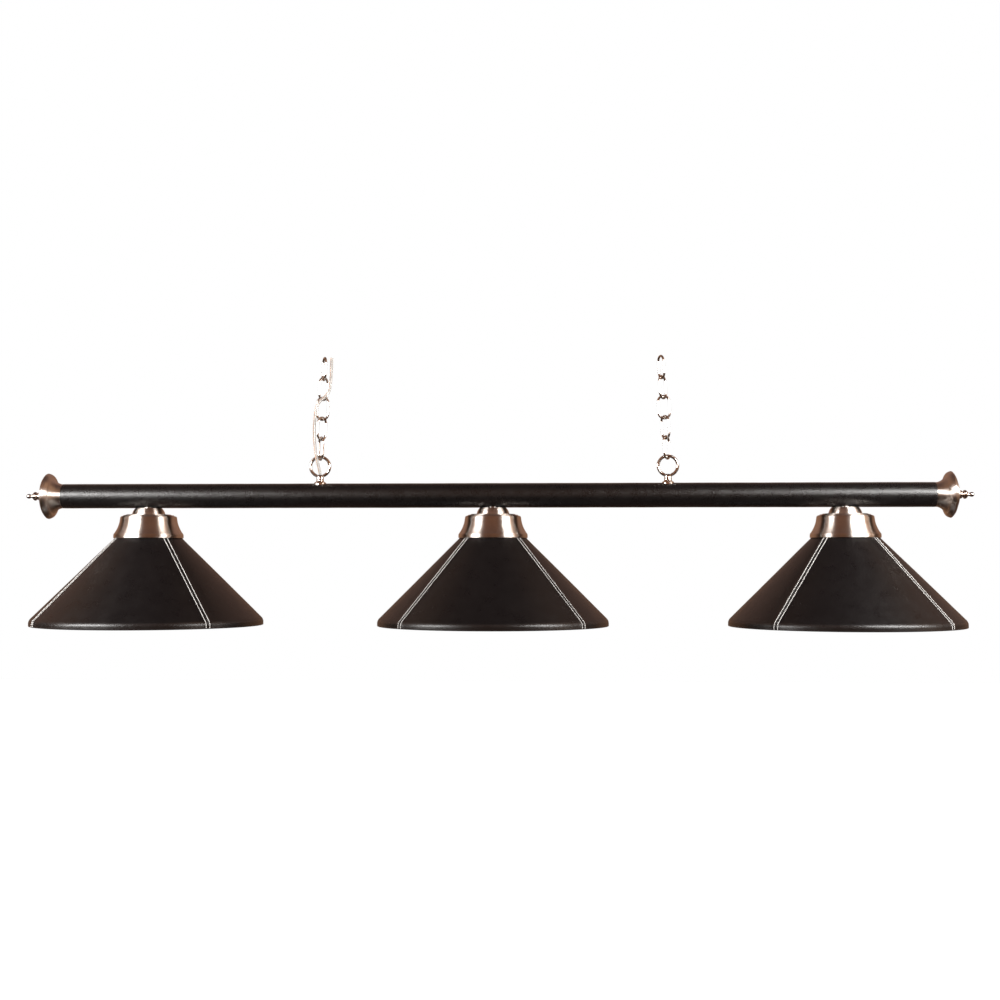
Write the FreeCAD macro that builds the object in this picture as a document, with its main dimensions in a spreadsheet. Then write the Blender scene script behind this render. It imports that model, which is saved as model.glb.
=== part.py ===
import FreeCAD, Part
import math
import os
import sys

import Sketcher
from FreeCAD import Placement, Rotation, Vector

# Pool table lamp: a leather-wrapped steel bar on two chains, with three leather-covered
# conical shades. Millimetres. +X runs along the bar, -Y is the front, +Z is up.
# The origin is the middle of the bar, on its axis.

os.makedirs("parts", exist_ok=True)
doc = FreeCAD.newDocument("PoolTableLamp")

# ---------------------------------------------------------------- driving dimensions
# alias, value, note
DIMS = [
    ("bar_half", 701.0, "half length of the steel tube"),
    ("tube_radius", 19.0, "outer radius of the steel tube"),
    ("tube_wall", 1.2, "wall of the steel tube"),
    ("wrap_radius", 19.8, "outer radius over the leather wrap"),
    ("wrap_half", 701.0, "half length of the leather wrap"),
    ("shade_pitch", 560.0, "distance between shade axes"),
    ("loop_x", 280.0, "distance of each hanging loop from the middle"),
    ("tip_x", 762.0, "end of the finials, half the overall length"),
    ("rim_x", 725.0, "plane of the end cap's widest circle"),
    ("dome_x", 738.0, "flat middle of the end cap's dome"),
    ("cap_radius", 37.0, "end cap rim radius"),
    ("cap_wall", 1.4, "end cap sheet"),
    ("stud_radius", 3.0, "finial stud, M6"),
    ("nipple_radius", 5.0, "lamp nipple, M10"),
    ("nipple_bore", 3.5, "bore radius of the nipple"),
    ("hole_radius", 5.3, "clearance hole radius for the nipple"),
    ("loop_hole", 5.8, "hole radius in the bar for the loop stud"),
    ("fitter_top", -30.2, "top face of the fitter cap"),
    ("fitter_low", -68.6, "lower edge of the fitter cap"),
    ("fitter_radius", 55.6, "fitter cap radius at its lower band"),
    ("fitter_wall", 1.2, "fitter cap sheet"),
    ("shade_top", -50.0, "top disc of the shade shell"),
    ("shade_radius", 185.0, "shade radius at the skirt"),
    ("shade_low", -209.0, "lower edge of the shade"),
    ("skirt", 9.0, "height of the skirt, to where the cone would meet it"),
    ("leather", 1.4, "thickness of the shade leather"),
    ("shell_wall", 0.8, "steel shade shell"),
    ("socket_radius", 18.0, "lamp socket body radius"),
    ("socket_top", -58.0, "top of the lamp socket body"),
    ("socket_low", -105.0, "mouth of the lamp socket body"),
    ("ring_z", 47.0, "centre of the loop ring"),
    ("ring_radius", 15.6, "loop ring, to the wire centre"),
    ("ring_wire", 2.4, "loop ring wire radius"),
    ("link_wire", 1.75, "chain wire radius"),
    ("link_bend", 9.0, "chain link end radius, to the wire centre"),
    ("link_half", 8.95, "half of the link's straight side"),
    ("link_play", 0.06, "gap between two links where they bear"),
    ("lean_left", 2.2, "left chain's lean towards the middle, degrees"),
    ("lean_right", 3.6, "right chain's lean towards the middle, degrees"),
    ("nut_flats", 14.0, "lock nut across flats"),
    ("nut_height", 3.5, "lock nut height"),
]
sheet = doc.addObject("Spreadsheet::Sheet", "Dims")
for row, (alias, value, note) in enumerate(DIMS, 1):
    sheet.set(f"A{row}", note)
    sheet.set(f"B{row}", str(value))
    sheet.setAlias(f"B{row}", alias)
doc.recompute()

OPERATIONS = {
    "+": lambda a, b: a + b,
    "-": lambda a, b: a - b,
    "*": lambda a, b: a * b,
    "/": lambda a, b: a / b,
}


class Size:
    """A size: its value now, and the sheet expression that keeps it bound."""

    def __init__(self, value, text):
        self.value, self.text = float(value), text

    def __add__(self, other):
        return combine(self, "+", other)

    def __sub__(self, other):
        return combine(self, "-", other)

    def __rsub__(self, other):
        return combine(other, "-", self)

    def __mul__(self, other):
        return combine(self, "*", other)

    def __rmul__(self, other):
        return combine(other, "*", self)

    def __truediv__(self, other):
        return combine(self, "/", other)

    def __neg__(self):
        return combine(0, "-", self)


def size(x):
    """A plain number as a Size; a Size stays as it is."""
    return x if isinstance(x, Size) else Size(x, f"({float(x)!r})")


def combine(first, sign, second):
    first, second = size(first), size(second)
    value = OPERATIONS[sign](first.value, second.value)
    return Size(value, f"({first.text} {sign} {second.text})")


def dim(alias):
    return Size(float(sheet.get(alias)), f"Dims.{alias}")


# Sizes that several pieces share
BAR_HALF = dim("bar_half")
TUBE_RADIUS = dim("tube_radius")
TUBE_BORE = TUBE_RADIUS - dim("tube_wall")
WRAP_RADIUS = dim("wrap_radius")
HOLE_RADIUS = dim("hole_radius")
NIPPLE_RADIUS = dim("nipple_radius")
WASHER_RADIUS = 8.2
WASHER_FACE = 14.6  # flat face of the washers in the tube, from the bar's axis

# Places along the bar
SHADES = (("left", -dim("shade_pitch")), ("middle", size(0)), ("right", dim("shade_pitch")))
LOOPS = (("left", -dim("loop_x")), ("right", dim("loop_x")))
# End pieces are turned about local Z, which points outwards along the bar.
ENDS = (
    ("left", Rotation(Vector(0, 1, 0), -90)),
    ("right", Rotation(Vector(0, 1, 0), 90)),
)
ALONG_BAR = Rotation(Vector(0, 1, 0), 90)


# ---------------------------------------------------------------- sketch helpers
Constraint = Sketcher.Constraint


def add_sketch(body, tag, role, offset=None):
    """A sketch on one of the body's own planes, raised by offset."""
    sketch = body.newObject("Sketcher::SketchObject", f"{body.Name}_{tag}")
    plane = next(f for f in body.Origin.OriginFeatures if f.Role == role)
    sketch.AttachmentSupport = [(plane, "")]
    sketch.MapMode = "FlatFace"
    if offset is not None:
        offset = size(offset)
        sketch.AttachmentOffset = Placement(Vector(0, 0, offset.value), Rotation())
        sketch.setExpression("AttachmentOffset.Base.z", offset.text)
    return sketch


def bind(sketch, constraint, name, length):
    """Adds a constraint whose size follows the sheet."""
    index = sketch.addConstraint(constraint)
    sketch.renameConstraint(index, name)
    sketch.setExpression(f"Constraints.{name}", size(length).text)


def pin(sketch, edge, end, x, y, name):
    """Holds a point at (x, y) of the sketch."""
    x, y = size(x), size(y)
    on_y_axis, on_x_axis = abs(x.value) < 1e-9, abs(y.value) < 1e-9
    if on_y_axis and on_x_axis:
        sketch.addConstraint(Constraint("Coincident", edge, end, -1, 1))
        return
    if on_y_axis:
        sketch.addConstraint(Constraint("PointOnObject", edge, end, -2))
    else:
        across = Constraint("DistanceX", -1, 1, edge, end, x.value)
        bind(sketch, across, f"{name}_across", x)
    if on_x_axis:
        sketch.addConstraint(Constraint("PointOnObject", edge, end, -1))
    else:
        along = Constraint("DistanceY", -1, 1, edge, end, y.value)
        bind(sketch, along, f"{name}_along", y)


def add_arc(sketch, start, stop, bulge, name):
    """An arc from start to stop that stands out to the right of the way by bulge.
    Returns the edge and the numbers of its first and last ends."""
    (ax, ay), (bx, by) = start, stop
    chord = math.hypot(bx - ax, by - ay)
    radius = (chord * chord / 4 + bulge * bulge) / (2 * abs(bulge))
    right_x, right_y = (by - ay) / chord, -(bx - ax) / chord
    side = 1 if bulge > 0 else -1
    back = radius - abs(bulge)
    cx = (ax + bx) / 2 - right_x * side * back
    cy = (ay + by) / 2 - right_y * side * back
    first, last = math.atan2(ay - cy, ax - cx), math.atan2(by - cy, bx - cx)
    # arcs always run counter-clockwise, so one that bends inwards is stored reversed
    ends = (1, 2)
    if side < 0:
        first, last, ends = last, first, (2, 1)
        while last < first:
            last += 2 * math.pi
    while last < first:
        last += 2 * math.pi
    full = Part.Circle(Vector(cx, cy, 0), Vector(0, 0, 1), radius)
    edge = sketch.addGeometry(Part.ArcOfCircle(full, first, last))
    bind(sketch, Constraint("Radius", edge, radius), name, radius)
    return (edge, *ends)


def outline(sketch, points):
    """A closed outline. Each point is (x, y), or (x, y, bulge) when the edge to the
    next point is an arc that stands out of the outline by bulge."""
    flat = [(size(point[0]).value, size(point[1]).value) for point in points]
    following = flat[1:] + flat[:1]
    area = sum(a[0] * b[1] - b[0] * a[1] for a, b in zip(flat, following))
    outwards = 1 if area > 0 else -1
    edges = []
    for i, point in enumerate(points):
        start, stop = flat[i], following[i]
        bulge = point[2] * outwards if len(point) > 2 else 0
        if bulge:
            edges.append(add_arc(sketch, start, stop, bulge, f"p{i}_bend"))
        else:
            line = Part.LineSegment(Vector(*start, 0), Vector(*stop, 0))
            edges.append((sketch.addGeometry(line), 1, 2))
    for i, (edge, first, last) in enumerate(edges):
        after, after_first, _ = edges[(i + 1) % len(edges)]
        sketch.addConstraint(Constraint("Coincident", edge, last, after, after_first))
        pin(sketch, edge, first, points[i][0], points[i][1], f"p{i}")


def circle(sketch, x, y, radius, tag):
    centre, radius = Vector(size(x).value, size(y).value, 0), size(radius)
    edge = sketch.addGeometry(Part.Circle(centre, Vector(0, 0, 1), radius.value))
    bind(sketch, Constraint("Radius", edge, radius.value), f"{tag}_round", radius)
    pin(sketch, edge, 3, x, y, tag)


# ---------------------------------------------------------------- solid helpers
def drive(obj, name, length):
    """Sets a property and binds it to the sheet."""
    setattr(obj, name, size(length).value)
    obj.setExpression(name, size(length).text)


def place(obj, x=0, y=0, z=0, rotation=None):
    """Places the object; coordinates that are a Size stay bound to the sheet."""
    base = Vector(size(x).value, size(y).value, size(z).value)
    obj.Placement = Placement(base, rotation or Rotation())
    for axis, coordinate in (("x", x), ("y", y), ("z", z)):
        if isinstance(coordinate, Size):
            obj.setExpression(f"Placement.Base.{axis}", coordinate.text)


def new_body(name):
    return doc.addObject("PartDesign::Body", name)


def turn(body, sketch, name, axis="V_Axis", kind="PartDesign::Revolution"):
    """Turns a sketch a full circle about one of its axes."""
    feature = body.newObject(kind, name)
    feature.Profile = sketch
    feature.ReferenceAxis = (sketch, [axis])
    feature.Angle = 360


def revolve(body, tag, points, kind="PartDesign::Revolution"):
    """Turns an outline of (radius, z) about the body's Z axis."""
    sketch = add_sketch(body, tag, "XZ_Plane")
    outline(sketch, points)
    turn(body, sketch, f"{body.Name}_{tag}_turned", kind=kind)


def turned(name, points, x=0, rotation=None):
    """A piece turned about its own axis."""
    body = new_body(name)
    revolve(body, "side", points)
    place(body, x, rotation=rotation)
    return body


def make_symmetric(feature):
    """Extends a pad or pocket to both sides of its sketch."""
    # the property's name depends on the FreeCAD version
    if "SideType" in feature.PropertiesList:
        feature.SideType = "Symmetric"
    else:
        feature.Midplane = True


def pad(body, sketch, name, length):
    feature = body.newObject("PartDesign::Pad", name)
    feature.Profile = sketch
    drive(feature, "Length", length)
    return feature


def pocket(body, sketch, name, length, upwards=False):
    feature = body.newObject("PartDesign::Pocket", name)
    feature.Profile = sketch
    feature.Type = "Length"
    feature.Length = length
    feature.Reversed = upwards
    return feature


def cut_bar_seat(body):
    """Cuts the seat that lets a piece sit on the round bar."""
    sketch = add_sketch(body, "seat", "YZ_Plane")
    circle(sketch, 0, 0, WRAP_RADIUS, "seat")
    make_symmetric(pocket(body, sketch, f"{body.Name}_seat_cut", 200))


def cylinder(name, radius, height):
    """A plain cylinder along its local Z."""
    solid = doc.addObject("Part::Cylinder", name)
    drive(solid, "Radius", radius)
    drive(solid, "Height", height)
    return solid


def hex_nut(name, bore, low, high, x):
    body = new_body(name)
    sketch = add_sketch(body, "flats", "XY_Plane", low)
    flat = dim("nut_flats") / 2
    half_side = dim("nut_flats") / (2 * math.sqrt(3))
    outline(
        sketch,
        [
            (flat, -half_side), (flat, half_side), (0, 2 * half_side),
            (-flat, half_side), (-flat, -half_side), (0, -2 * half_side),
        ],
    )
    circle(sketch, 0, 0, bore, "bore")
    pad(body, sketch, f"{name}_pad", high - low)
    place(body, x)
    return body


def saddle_washer(name, disc_name, bore, low, high, x):
    """A washer whose one face follows the inside of the tube."""
    disc = new_body(disc_name)
    corners = [(bore, low), (WASHER_RADIUS, low), (WASHER_RADIUS, high), (bore, high)]
    revolve(disc, "disc", corners)
    place(disc, x)
    core = cylinder(f"{name}_core", TUBE_BORE, 60)
    place(core, x - 30, rotation=ALONG_BAR)
    washer = doc.addObject("Part::Common", name)
    washer.Base, washer.Tool = disc, core
    return washer


nodes = []  # the objects that are exported


def group(label, members):
    """Identical pieces of one kind: separate solids that share a node."""
    compound = doc.addObject("Part::Compound", label + "_group")
    compound.Links = members
    compound.Label = label
    nodes.append(compound)


# ---------------------------------------------------------------- the bar
def drill_bar(body, prefix, clearance):
    """Cuts a hole under each shade and a hole over the bar for each loop."""
    for tag, sketch_tag, spots, radius, upwards in (
        ("under", "under_holes", SHADES, HOLE_RADIUS, False),
        ("over", "loop_holes", LOOPS, dim("loop_hole"), True),
    ):
        sketch = add_sketch(body, sketch_tag, "XY_Plane")
        for side, x in spots:
            circle(sketch, x, 0, radius + clearance, f"{tag}_{side}")
        pocket(body, sketch, f"{prefix}_{tag}_cut", 40, upwards)


def bar_tube():
    """Steel tube."""
    body = new_body("bar_tube")
    sketch = add_sketch(body, "section", "YZ_Plane")
    circle(sketch, 0, 0, TUBE_RADIUS, "outer")
    circle(sketch, 0, 0, TUBE_BORE, "inner")
    make_symmetric(pad(body, sketch, "bar_tube_pad", 2 * BAR_HALF))
    drill_bar(body, "bar_tube", 0)
    return body


def bar_leather_wrap():
    """Leather sleeve over the tube, its ends pared where they meet the end caps."""
    body = new_body("bar_leather_wrap")
    half = dim("wrap_half")
    edge, pared = WRAP_RADIUS - 0.5, 2.0
    sketch = add_sketch(body, "section", "XZ_Plane")
    outline(
        sketch,
        [
            (-half, TUBE_RADIUS), (half, TUBE_RADIUS), (half, edge),
            (half - pared, WRAP_RADIUS), (pared - half, WRAP_RADIUS), (-half, edge),
        ],
    )
    turn(body, sketch, "bar_leather_wrap_turned", axis="H_Axis")
    drill_bar(body, "wrap", 0.4)
    return body


nodes += [bar_tube(), bar_leather_wrap()]

# ---------------------------------------------------------------- bar ends
STUD_RADIUS = dim("stud_radius")
DOME = dim("dome_x")
PLUG_RADIUS = TUBE_RADIUS - 0.9  # part of the plug that stands out of the tube


def end_plug(side, rotation):
    """Plug in the tube's end."""
    points = [
        (STUD_RADIUS, BAR_HALF - 12),
        (TUBE_BORE - 0.8, BAR_HALF - 12),
        (TUBE_BORE, BAR_HALF - 11.2),
        (TUBE_BORE, BAR_HALF),
        (PLUG_RADIUS, BAR_HALF),
        (PLUG_RADIUS, BAR_HALF + 5),
        (STUD_RADIUS, BAR_HALF + 5),
    ]
    return turned(f"end_plug_{side}", points, rotation=rotation)


def end_cap(side, rotation):
    """Spun end cap: neck, bell flare, rolled rim, domed face with a flat middle."""
    rim, radius, wall = dim("rim_x"), dim("cap_radius"), dim("cap_wall")
    stud_hole = STUD_RADIUS + 0.2
    points = [
        # outside
        (PLUG_RADIUS, BAR_HALF),
        (WRAP_RADIUS - 0.2, BAR_HALF),
        (WRAP_RADIUS - 0.1, BAR_HALF + 3, -1.6),
        (radius - 8.5, rim - 8.2, 1.9),
        (radius - 0.4, rim - 0.9, 0.55),
        (radius - 0.8, rim + 1.5, 0.9),
        (radius - 11.0, rim + 7.2, 0.8),
        (7.5, DOME),
        (stud_hole, DOME),
        # inside
        (stud_hole, DOME - wall),
        (7.3, DOME - wall, -0.75),
        (radius - 11.4, rim + 7.2 - wall, -0.75),
        (radius - 2.2, rim + 0.6, -0.35),
        (radius - 2.2, rim - 1.2, -1.5),
        (radius - 10.1, rim - 8.4, 1.3),
        (PLUG_RADIUS, BAR_HALF + 4.0),
    ]
    return turned(f"end_cap_{side}", points, rotation=rotation)


def finial(side, rotation):
    """Stepped finial: collar, neck, bead, neck, tip bead."""
    tip = dim("tip_x")
    points = [
        (STUD_RADIUS, DOME),
        (5.6, DOME),
        (5.6, DOME + 1.2, 0.7),
        (6.4, DOME + 3.4, 0.5),
        (4.6, DOME + 5.2, -0.5),
        (4.6, DOME + 6.6, 0.7),
        (7.0, DOME + 9.6, 0.55),
        (5.0, DOME + 12.6, 0.4),
        (2.9, DOME + 14.0, -0.35),
        (2.9, DOME + 17.2, 0.3),
        (3.7, DOME + 20.4, 0.5),
        (2.2, tip - 0.5, 0.12),
        (1.2, tip),
        (0, tip),
        (0, DOME + 10),
        (STUD_RADIUS, DOME + 10),
    ]
    return turned(f"finial_{side}", points, rotation=rotation)


def finial_stud(side, rotation):
    """Stud from the plug into the finial, chamfered at both ends."""
    low, high, chamfer = BAR_HALF - 14, DOME + 9.7, 0.5
    points = [
        (0, low),
        (STUD_RADIUS - chamfer, low),
        (STUD_RADIUS, low + chamfer),
        (STUD_RADIUS, high - chamfer),
        (STUD_RADIUS - chamfer, high),
        (0, high),
    ]
    return turned(f"stud_{side}", points, rotation=rotation)


for side, rotation in ENDS:
    nodes += [make(side, rotation) for make in (end_plug, end_cap, finial)]
group("finial_studs", [finial_stud(side, rotation) for side, rotation in ENDS])

# ---------------------------------------------------------------- hanging loops
RING_Z = dim("ring_z")
RING_RADIUS = dim("ring_radius")
RING_WIRE = dim("ring_wire")
RING_LOW = RING_Z - RING_RADIUS
LOOP_BORE = 3.6
LOOP_THREAD = 5.5  # radius of the stud below the foot
LOOP_NUT_HEIGHT = 4.0
BUSHING_RADIUS = 4.7
BUSHING_LOW = 27.4


def hanging_loop(side, x):
    """One casting: flared foot on the bar, hollow stem, ring, and a hollow stud below."""
    loop = new_body(f"hanging_loop_{side}")
    revolve(
        loop,
        "stem",
        [
            (LOOP_BORE, 12),
            (9.7, 12),
            (9.7, 19.6),
            (9.2, 21.2, -1.4),
            (6.0, 26.5, -0.3),
            (5.9, RING_LOW + 0.8),
            (4.8, RING_LOW + 2.2),
            (LOOP_BORE, RING_LOW + 2.2),
        ],
    )
    cut_bar_seat(loop)
    revolve(
        loop,
        "threaded",
        [
            (LOOP_BORE, 7.2),
            (5.0, 7.2),
            (LOOP_THREAD, 7.9),
            (LOOP_THREAD, 20.4),
            (LOOP_BORE, 20.4),
        ],
    )
    wire = add_sketch(loop, "ring_wire", "XY_Plane", RING_Z)
    circle(wire, RING_RADIUS, 0, RING_WIRE, "wire")
    turn(loop, wire, f"loop_ring_{side}")
    # the bore comes last, so that it also opens the ring; it widens for the bushing
    revolve(
        loop,
        "bore",
        [
            (0, 5),
            (LOOP_BORE, 5),
            (LOOP_BORE, BUSHING_LOW),
            (BUSHING_RADIUS, BUSHING_LOW),
            (BUSHING_RADIUS, RING_LOW + 4),
            (0, RING_LOW + 4),
        ],
        kind="PartDesign::Groove",
    )
    place(loop, x)
    return loop


def cord_bushing():
    """Strain-relief bushing in the left loop, where the cord goes into the bar."""
    bore, top = 3.35, RING_LOW + 1.9
    points = [
        (bore, BUSHING_LOW),
        (BUSHING_RADIUS, BUSHING_LOW),
        (BUSHING_RADIUS, top),
        (bore, top),
    ]
    return turned("cord_bushing", points, x=-dim("loop_x"))


def loop_washer(side, x):
    return saddle_washer(
        f"loop_washer_{side}", f"lock_disc_{side}", 5.55, WASHER_FACE, TUBE_RADIUS, x
    )


def loop_nut(side, x):
    low = WASHER_FACE - LOOP_NUT_HEIGHT
    return hex_nut(f"loop_nut_{side}", LOOP_THREAD, low, WASHER_FACE, x)


nodes += [hanging_loop(side, x) for side, x in LOOPS]
nodes.append(cord_bushing())
group("loop_lock_washers", [loop_washer(side, x) for side, x in LOOPS])
group("loop_nuts", [loop_nut(side, x) for side, x in LOOPS])

# ---------------------------------------------------------------- chains
LINK_WIRE, LINK_PLAY = dim("link_wire"), dim("link_play")
LINK_BEND, LINK_HALF = dim("link_bend"), dim("link_half")
# from the ring's centre to the outer end of the first link
CHAIN_START = (RING_RADIUS - RING_WIRE - LINK_WIRE - LINK_PLAY).value
LINK_REACH = (LINK_BEND + LINK_HALF).value
LINK_PITCH = 2 * LINK_REACH - (2 * LINK_WIRE + LINK_PLAY).value
# side, towards the middle along X, turn of each link about the chain from the ring up
CHAINS = (
    ("left", 1, (-59, 55, 0, 55, -66)),
    ("right", -1, (59, -55, 0, 55, -66)),
)


def chain_line(side, towards):
    """The ring's centre, the chain's direction, and its lean as an angle about Y."""
    degrees = dim(f"lean_{side}").value * towards
    lean = math.radians(degrees)
    centre = Vector(-towards * dim("loop_x").value, 0, RING_Z.value)
    return centre, Vector(math.sin(lean), 0, math.cos(lean)), degrees


def chain_link(name, placement):
    """Two half tori and two straight sides, drawn in the link's own XZ plane."""
    pieces = []
    for end, up in (("top", 1), ("low", -1)):
        bend = doc.addObject("Part::Torus", f"{name}_{end}")
        drive(bend, "Radius1", LINK_BEND)
        drive(bend, "Radius2", LINK_WIRE)
        bend.Angle3 = 180
        place(bend, z=up * LINK_HALF, rotation=Rotation(Vector(1, 0, 0), up * 90))
        pieces.append(bend)
    for end, across in (("a", 1), ("b", -1)):
        leg = cylinder(f"{name}_{end}", LINK_WIRE, 2 * LINK_HALF)
        place(leg, across * LINK_BEND, 0, -LINK_HALF)
        pieces.append(leg)
    link = doc.addObject("Part::MultiFuse", name)
    link.Shapes = pieces
    link.Refine = True
    link.Placement = placement
    return link


for side, towards, yaws in CHAINS:
    centre, upwards, degrees = chain_line(side, towards)
    tilt = Rotation(Vector(0, 1, 0), degrees)
    for k, yaw in enumerate(yaws):
        middle = centre + upwards * (CHAIN_START + LINK_REACH + k * LINK_PITCH)
        placement = Placement(middle, tilt * Rotation(Vector(0, 0, 1), yaw))
        nodes.append(chain_link(f"{side}_link_{k + 1}", placement))

# ---------------------------------------------------------------- power cord
CORD_RADIUS = 1.3  # rounding of the twin cord's two edges
CORD_FLAT_HALF = 1.3  # half of the flat between them
CORD_STEM_Z = (6.0, 20.0, 33.0)  # stations on the left loop's axis
# Stations from the low end of the left chain: along the chain, across it towards the
# middle, and out to the front
CORD_STATIONS = (
    (-15.0, -1.4, 1.8), (-6.0, -3.6, 4.0), (2.5, -5.6, 5.2), (14.0, -8.0, 5.0),
    (30.0, -10.6, 2.8), (50.0, -12.0, 1.8), (68.0, -11.4, 3.6), (84.0, -9.2, 5.6),
    (93.5, -4.0, 7.2), (101.5, 4.0, 7.0), (111.0, 9.4, 3.4), (130.0, 11.4, 0.8),
    (150.0, 11.6, 0.8), (166.0, 11.6, 0.8),
)


def cord_section():
    """Two flats joined by half circles, in the XY plane."""
    flat, radius = CORD_FLAT_HALF, CORD_RADIUS
    right_top, right_low = Vector(flat, radius, 0), Vector(flat, -radius, 0)
    left_top, left_low = Vector(-flat, radius, 0), Vector(-flat, -radius, 0)
    edges = [
        Part.LineSegment(left_top, right_top).toShape(),
        Part.Arc(right_top, Vector(flat + radius, 0, 0), right_low).toShape(),
        Part.LineSegment(right_low, left_low).toShape(),
        Part.Arc(left_low, Vector(-flat - radius, 0, 0), left_top).toShape(),
    ]
    return Part.Wire(Part.__sortEdges__(edges))


def power_cord():
    """Clear twin cord: beside the left chain, through the ring, down the hollow stem."""
    centre, upwards, _ = chain_line("left", 1)
    sideways = Vector(upwards.z, 0, -upwards.x)
    low = centre + upwards * CHAIN_START
    route = [Vector(centre.x, 0, z) for z in CORD_STEM_Z]
    for along, across, front in CORD_STATIONS:
        route.append(low + upwards * along + sideways * across + Vector(0, -front, 0))
    curve = Part.BSplineCurve()
    curve.interpolate(route)
    section = cord_section()
    section.Placement = Placement(route[0], Rotation())
    sweep = Part.BRepOffsetAPI.MakePipeShell(Part.Wire([curve.toShape()]))
    sweep.setBiNormalMode(Vector(0, 1, 0))
    sweep.add(section)
    sweep.build()
    sweep.makeSolid()
    cord = doc.addObject("Part::Feature", "power_cord")
    cord.Shape = sweep.shape()
    return cord


nodes.append(power_cord())

# ---------------------------------------------------------------- caps over the shades
FITTER_TOP = dim("fitter_top")
FITTER_WALL = dim("fitter_wall")


def neck_cap(side, x):
    """A small cup with a saddle boss that bears on the bar."""
    under = -WRAP_RADIUS
    body = new_body(f"neck_cap_{side}")
    revolve(
        body,
        "side",
        [
            (HOLE_RADIUS, -10),
            (7.6, -10),
            (7.6, under),
            (20.8, under, 0.35),
            (24.6, under - 5.0, 0.35),
            (26.2, FITTER_TOP),
            (25.0, FITTER_TOP, -0.35),
            (23.5, under - 5.4, -0.35),
            (20.2, under - 1.3),
            (HOLE_RADIUS, under - 1.3),
        ],
    )
    cut_bar_seat(body)
    place(body, x)
    return body


def fitter_cap(side, x):
    """Flat top, two small steps, bell side, straight band, turned-in lip."""
    top, low, radius = FITTER_TOP, dim("fitter_low"), dim("fitter_radius")
    points = [
        # outside
        (HOLE_RADIUS, top),
        (35.4, top),
        (36.0, top - 0.9),
        (39.2, top - 1.1, 0.25),
        (40.2, top - 2.0),
        (43.2, top - 2.9, 0.45),
        (45.0, top - 5.6),
        (46.0, top - 12.2, -0.9),
        (53.8, top - 30.0, 0.35),
        (radius, top - 33.4),
        (radius, low + 1.0, 0.3),
        (radius - 0.9, low),
        # inside
        (radius - 1.4, low),
        (radius - FITTER_WALL, low + 1.2),
        (radius - FITTER_WALL, top - 33.2, -0.35),
        (52.5, top - 29.9, 0.9),
        (44.8, top - 12.4),
        (43.8, top - 6.2, -0.4),
        (42.6, top - 4.2),
        (39.2, top - 3.2),
        (35.4, top - 2.2),
        (34.6, top - FITTER_WALL),
        (HOLE_RADIUS, top - FITTER_WALL),
    ]
    return turned(f"fitter_cap_{side}", points, x)


# ---------------------------------------------------------------- shades
SHADE_TOP = dim("shade_top")
SHADE_LOW = dim("shade_low")
SHADE_RADIUS = dim("shade_radius")
LEATHER = dim("leather")
SHELL_WALL = dim("shell_wall")
CORNER = SHADE_LOW + dim("skirt")  # where the cone would meet the skirt
SHOULDER = 3.18  # from the corner to the end of the cone, along both axes
SKIRT_TOP = CORNER - 4.5
CONE_TOP_RADIUS = 44.0
COS_45 = 0.7071
SHELL_GAP = 0.04  # between leather and shell


def shade_leather(side, x):
    """Leather cover: 45 degree cone, round shoulder, skirt, edge turned up inside."""
    radius, low = SHADE_RADIUS, SHADE_LOW
    top = CORNER + (radius - CONE_TOP_RADIUS)
    inset = LEATHER * COS_45
    points = [
        (CONE_TOP_RADIUS, top),
        (radius - SHOULDER, CORNER + SHOULDER, 0.83),
        (radius, SKIRT_TOP),
        (radius, low + 0.9, 0.26),
        (radius - 0.9, low),
        (radius - 3.0, low),
        (radius - 3.4, low + 0.6),
        (radius - 3.4, low + 4.0),
        (radius - 2.3, low + 4.0),
        (radius - 2.3, low + 1.2),
        (radius - LEATHER, low + 1.2),
        (radius - LEATHER, SKIRT_TOP, -0.72),
        (radius - SHOULDER - inset, CORNER + SHOULDER - inset),
        (CONE_TOP_RADIUS - inset, top - inset),
    ]
    return turned(f"shade_leather_{side}", points, x)


def shade_shell(side, x):
    """Steel shell under the leather, hung from its top disc."""
    gap = LEATHER * COS_45 + SHELL_GAP
    cone_radius = SHADE_RADIUS - SHOULDER - gap
    cone_low = CORNER + SHOULDER - gap
    # the cone is carried on at 45 degrees to the top disc
    disc_radius = cone_radius - (SHADE_TOP - cone_low)
    skirt_radius = SHADE_RADIUS - LEATHER - SHELL_GAP
    low = SHADE_LOW + 1.3
    inset = SHELL_WALL * COS_45
    points = [
        (HOLE_RADIUS, SHADE_TOP),
        (disc_radius, SHADE_TOP),
        (cone_radius, cone_low, 0.71),
        (skirt_radius, SKIRT_TOP),
        (skirt_radius, low),
        (skirt_radius - SHELL_WALL, low),
        (skirt_radius - SHELL_WALL, SKIRT_TOP, -0.65),
        (cone_radius - inset, cone_low - inset),
        (disc_radius - SHELL_WALL * 0.41, SHADE_TOP - SHELL_WALL),
        (HOLE_RADIUS, SHADE_TOP - SHELL_WALL),
    ]
    return turned(f"shade_shell_{side}", points, x)


# ---------------------------------------------------------------- sockets and bulbs
SOCKET_TOP = dim("socket_top")
SCREW_TOP = SOCKET_TOP - 18.0  # top of the screw shell
# The thread is a stack of rings of the same pitch.
THREAD_PITCH, THREAD_TURNS = 3.63, 6
THREAD_LENGTH = THREAD_TURNS * THREAD_PITCH
SHELL_THREAD_TOP = SCREW_TOP - 1.2
BASE_THREAD_TOP = SCREW_TOP - 2.4
BASE_THREAD_LOW = BASE_THREAD_TOP - THREAD_LENGTH
BULB_LENGTH = 105.0


def thread(top, root, crest):
    """Points of the thread rings, from the top down."""
    points = []
    for i in range(THREAD_TURNS):
        z = top - i * THREAD_PITCH
        points += [(root, z), (crest, z - THREAD_PITCH / 2)]
    return points


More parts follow.
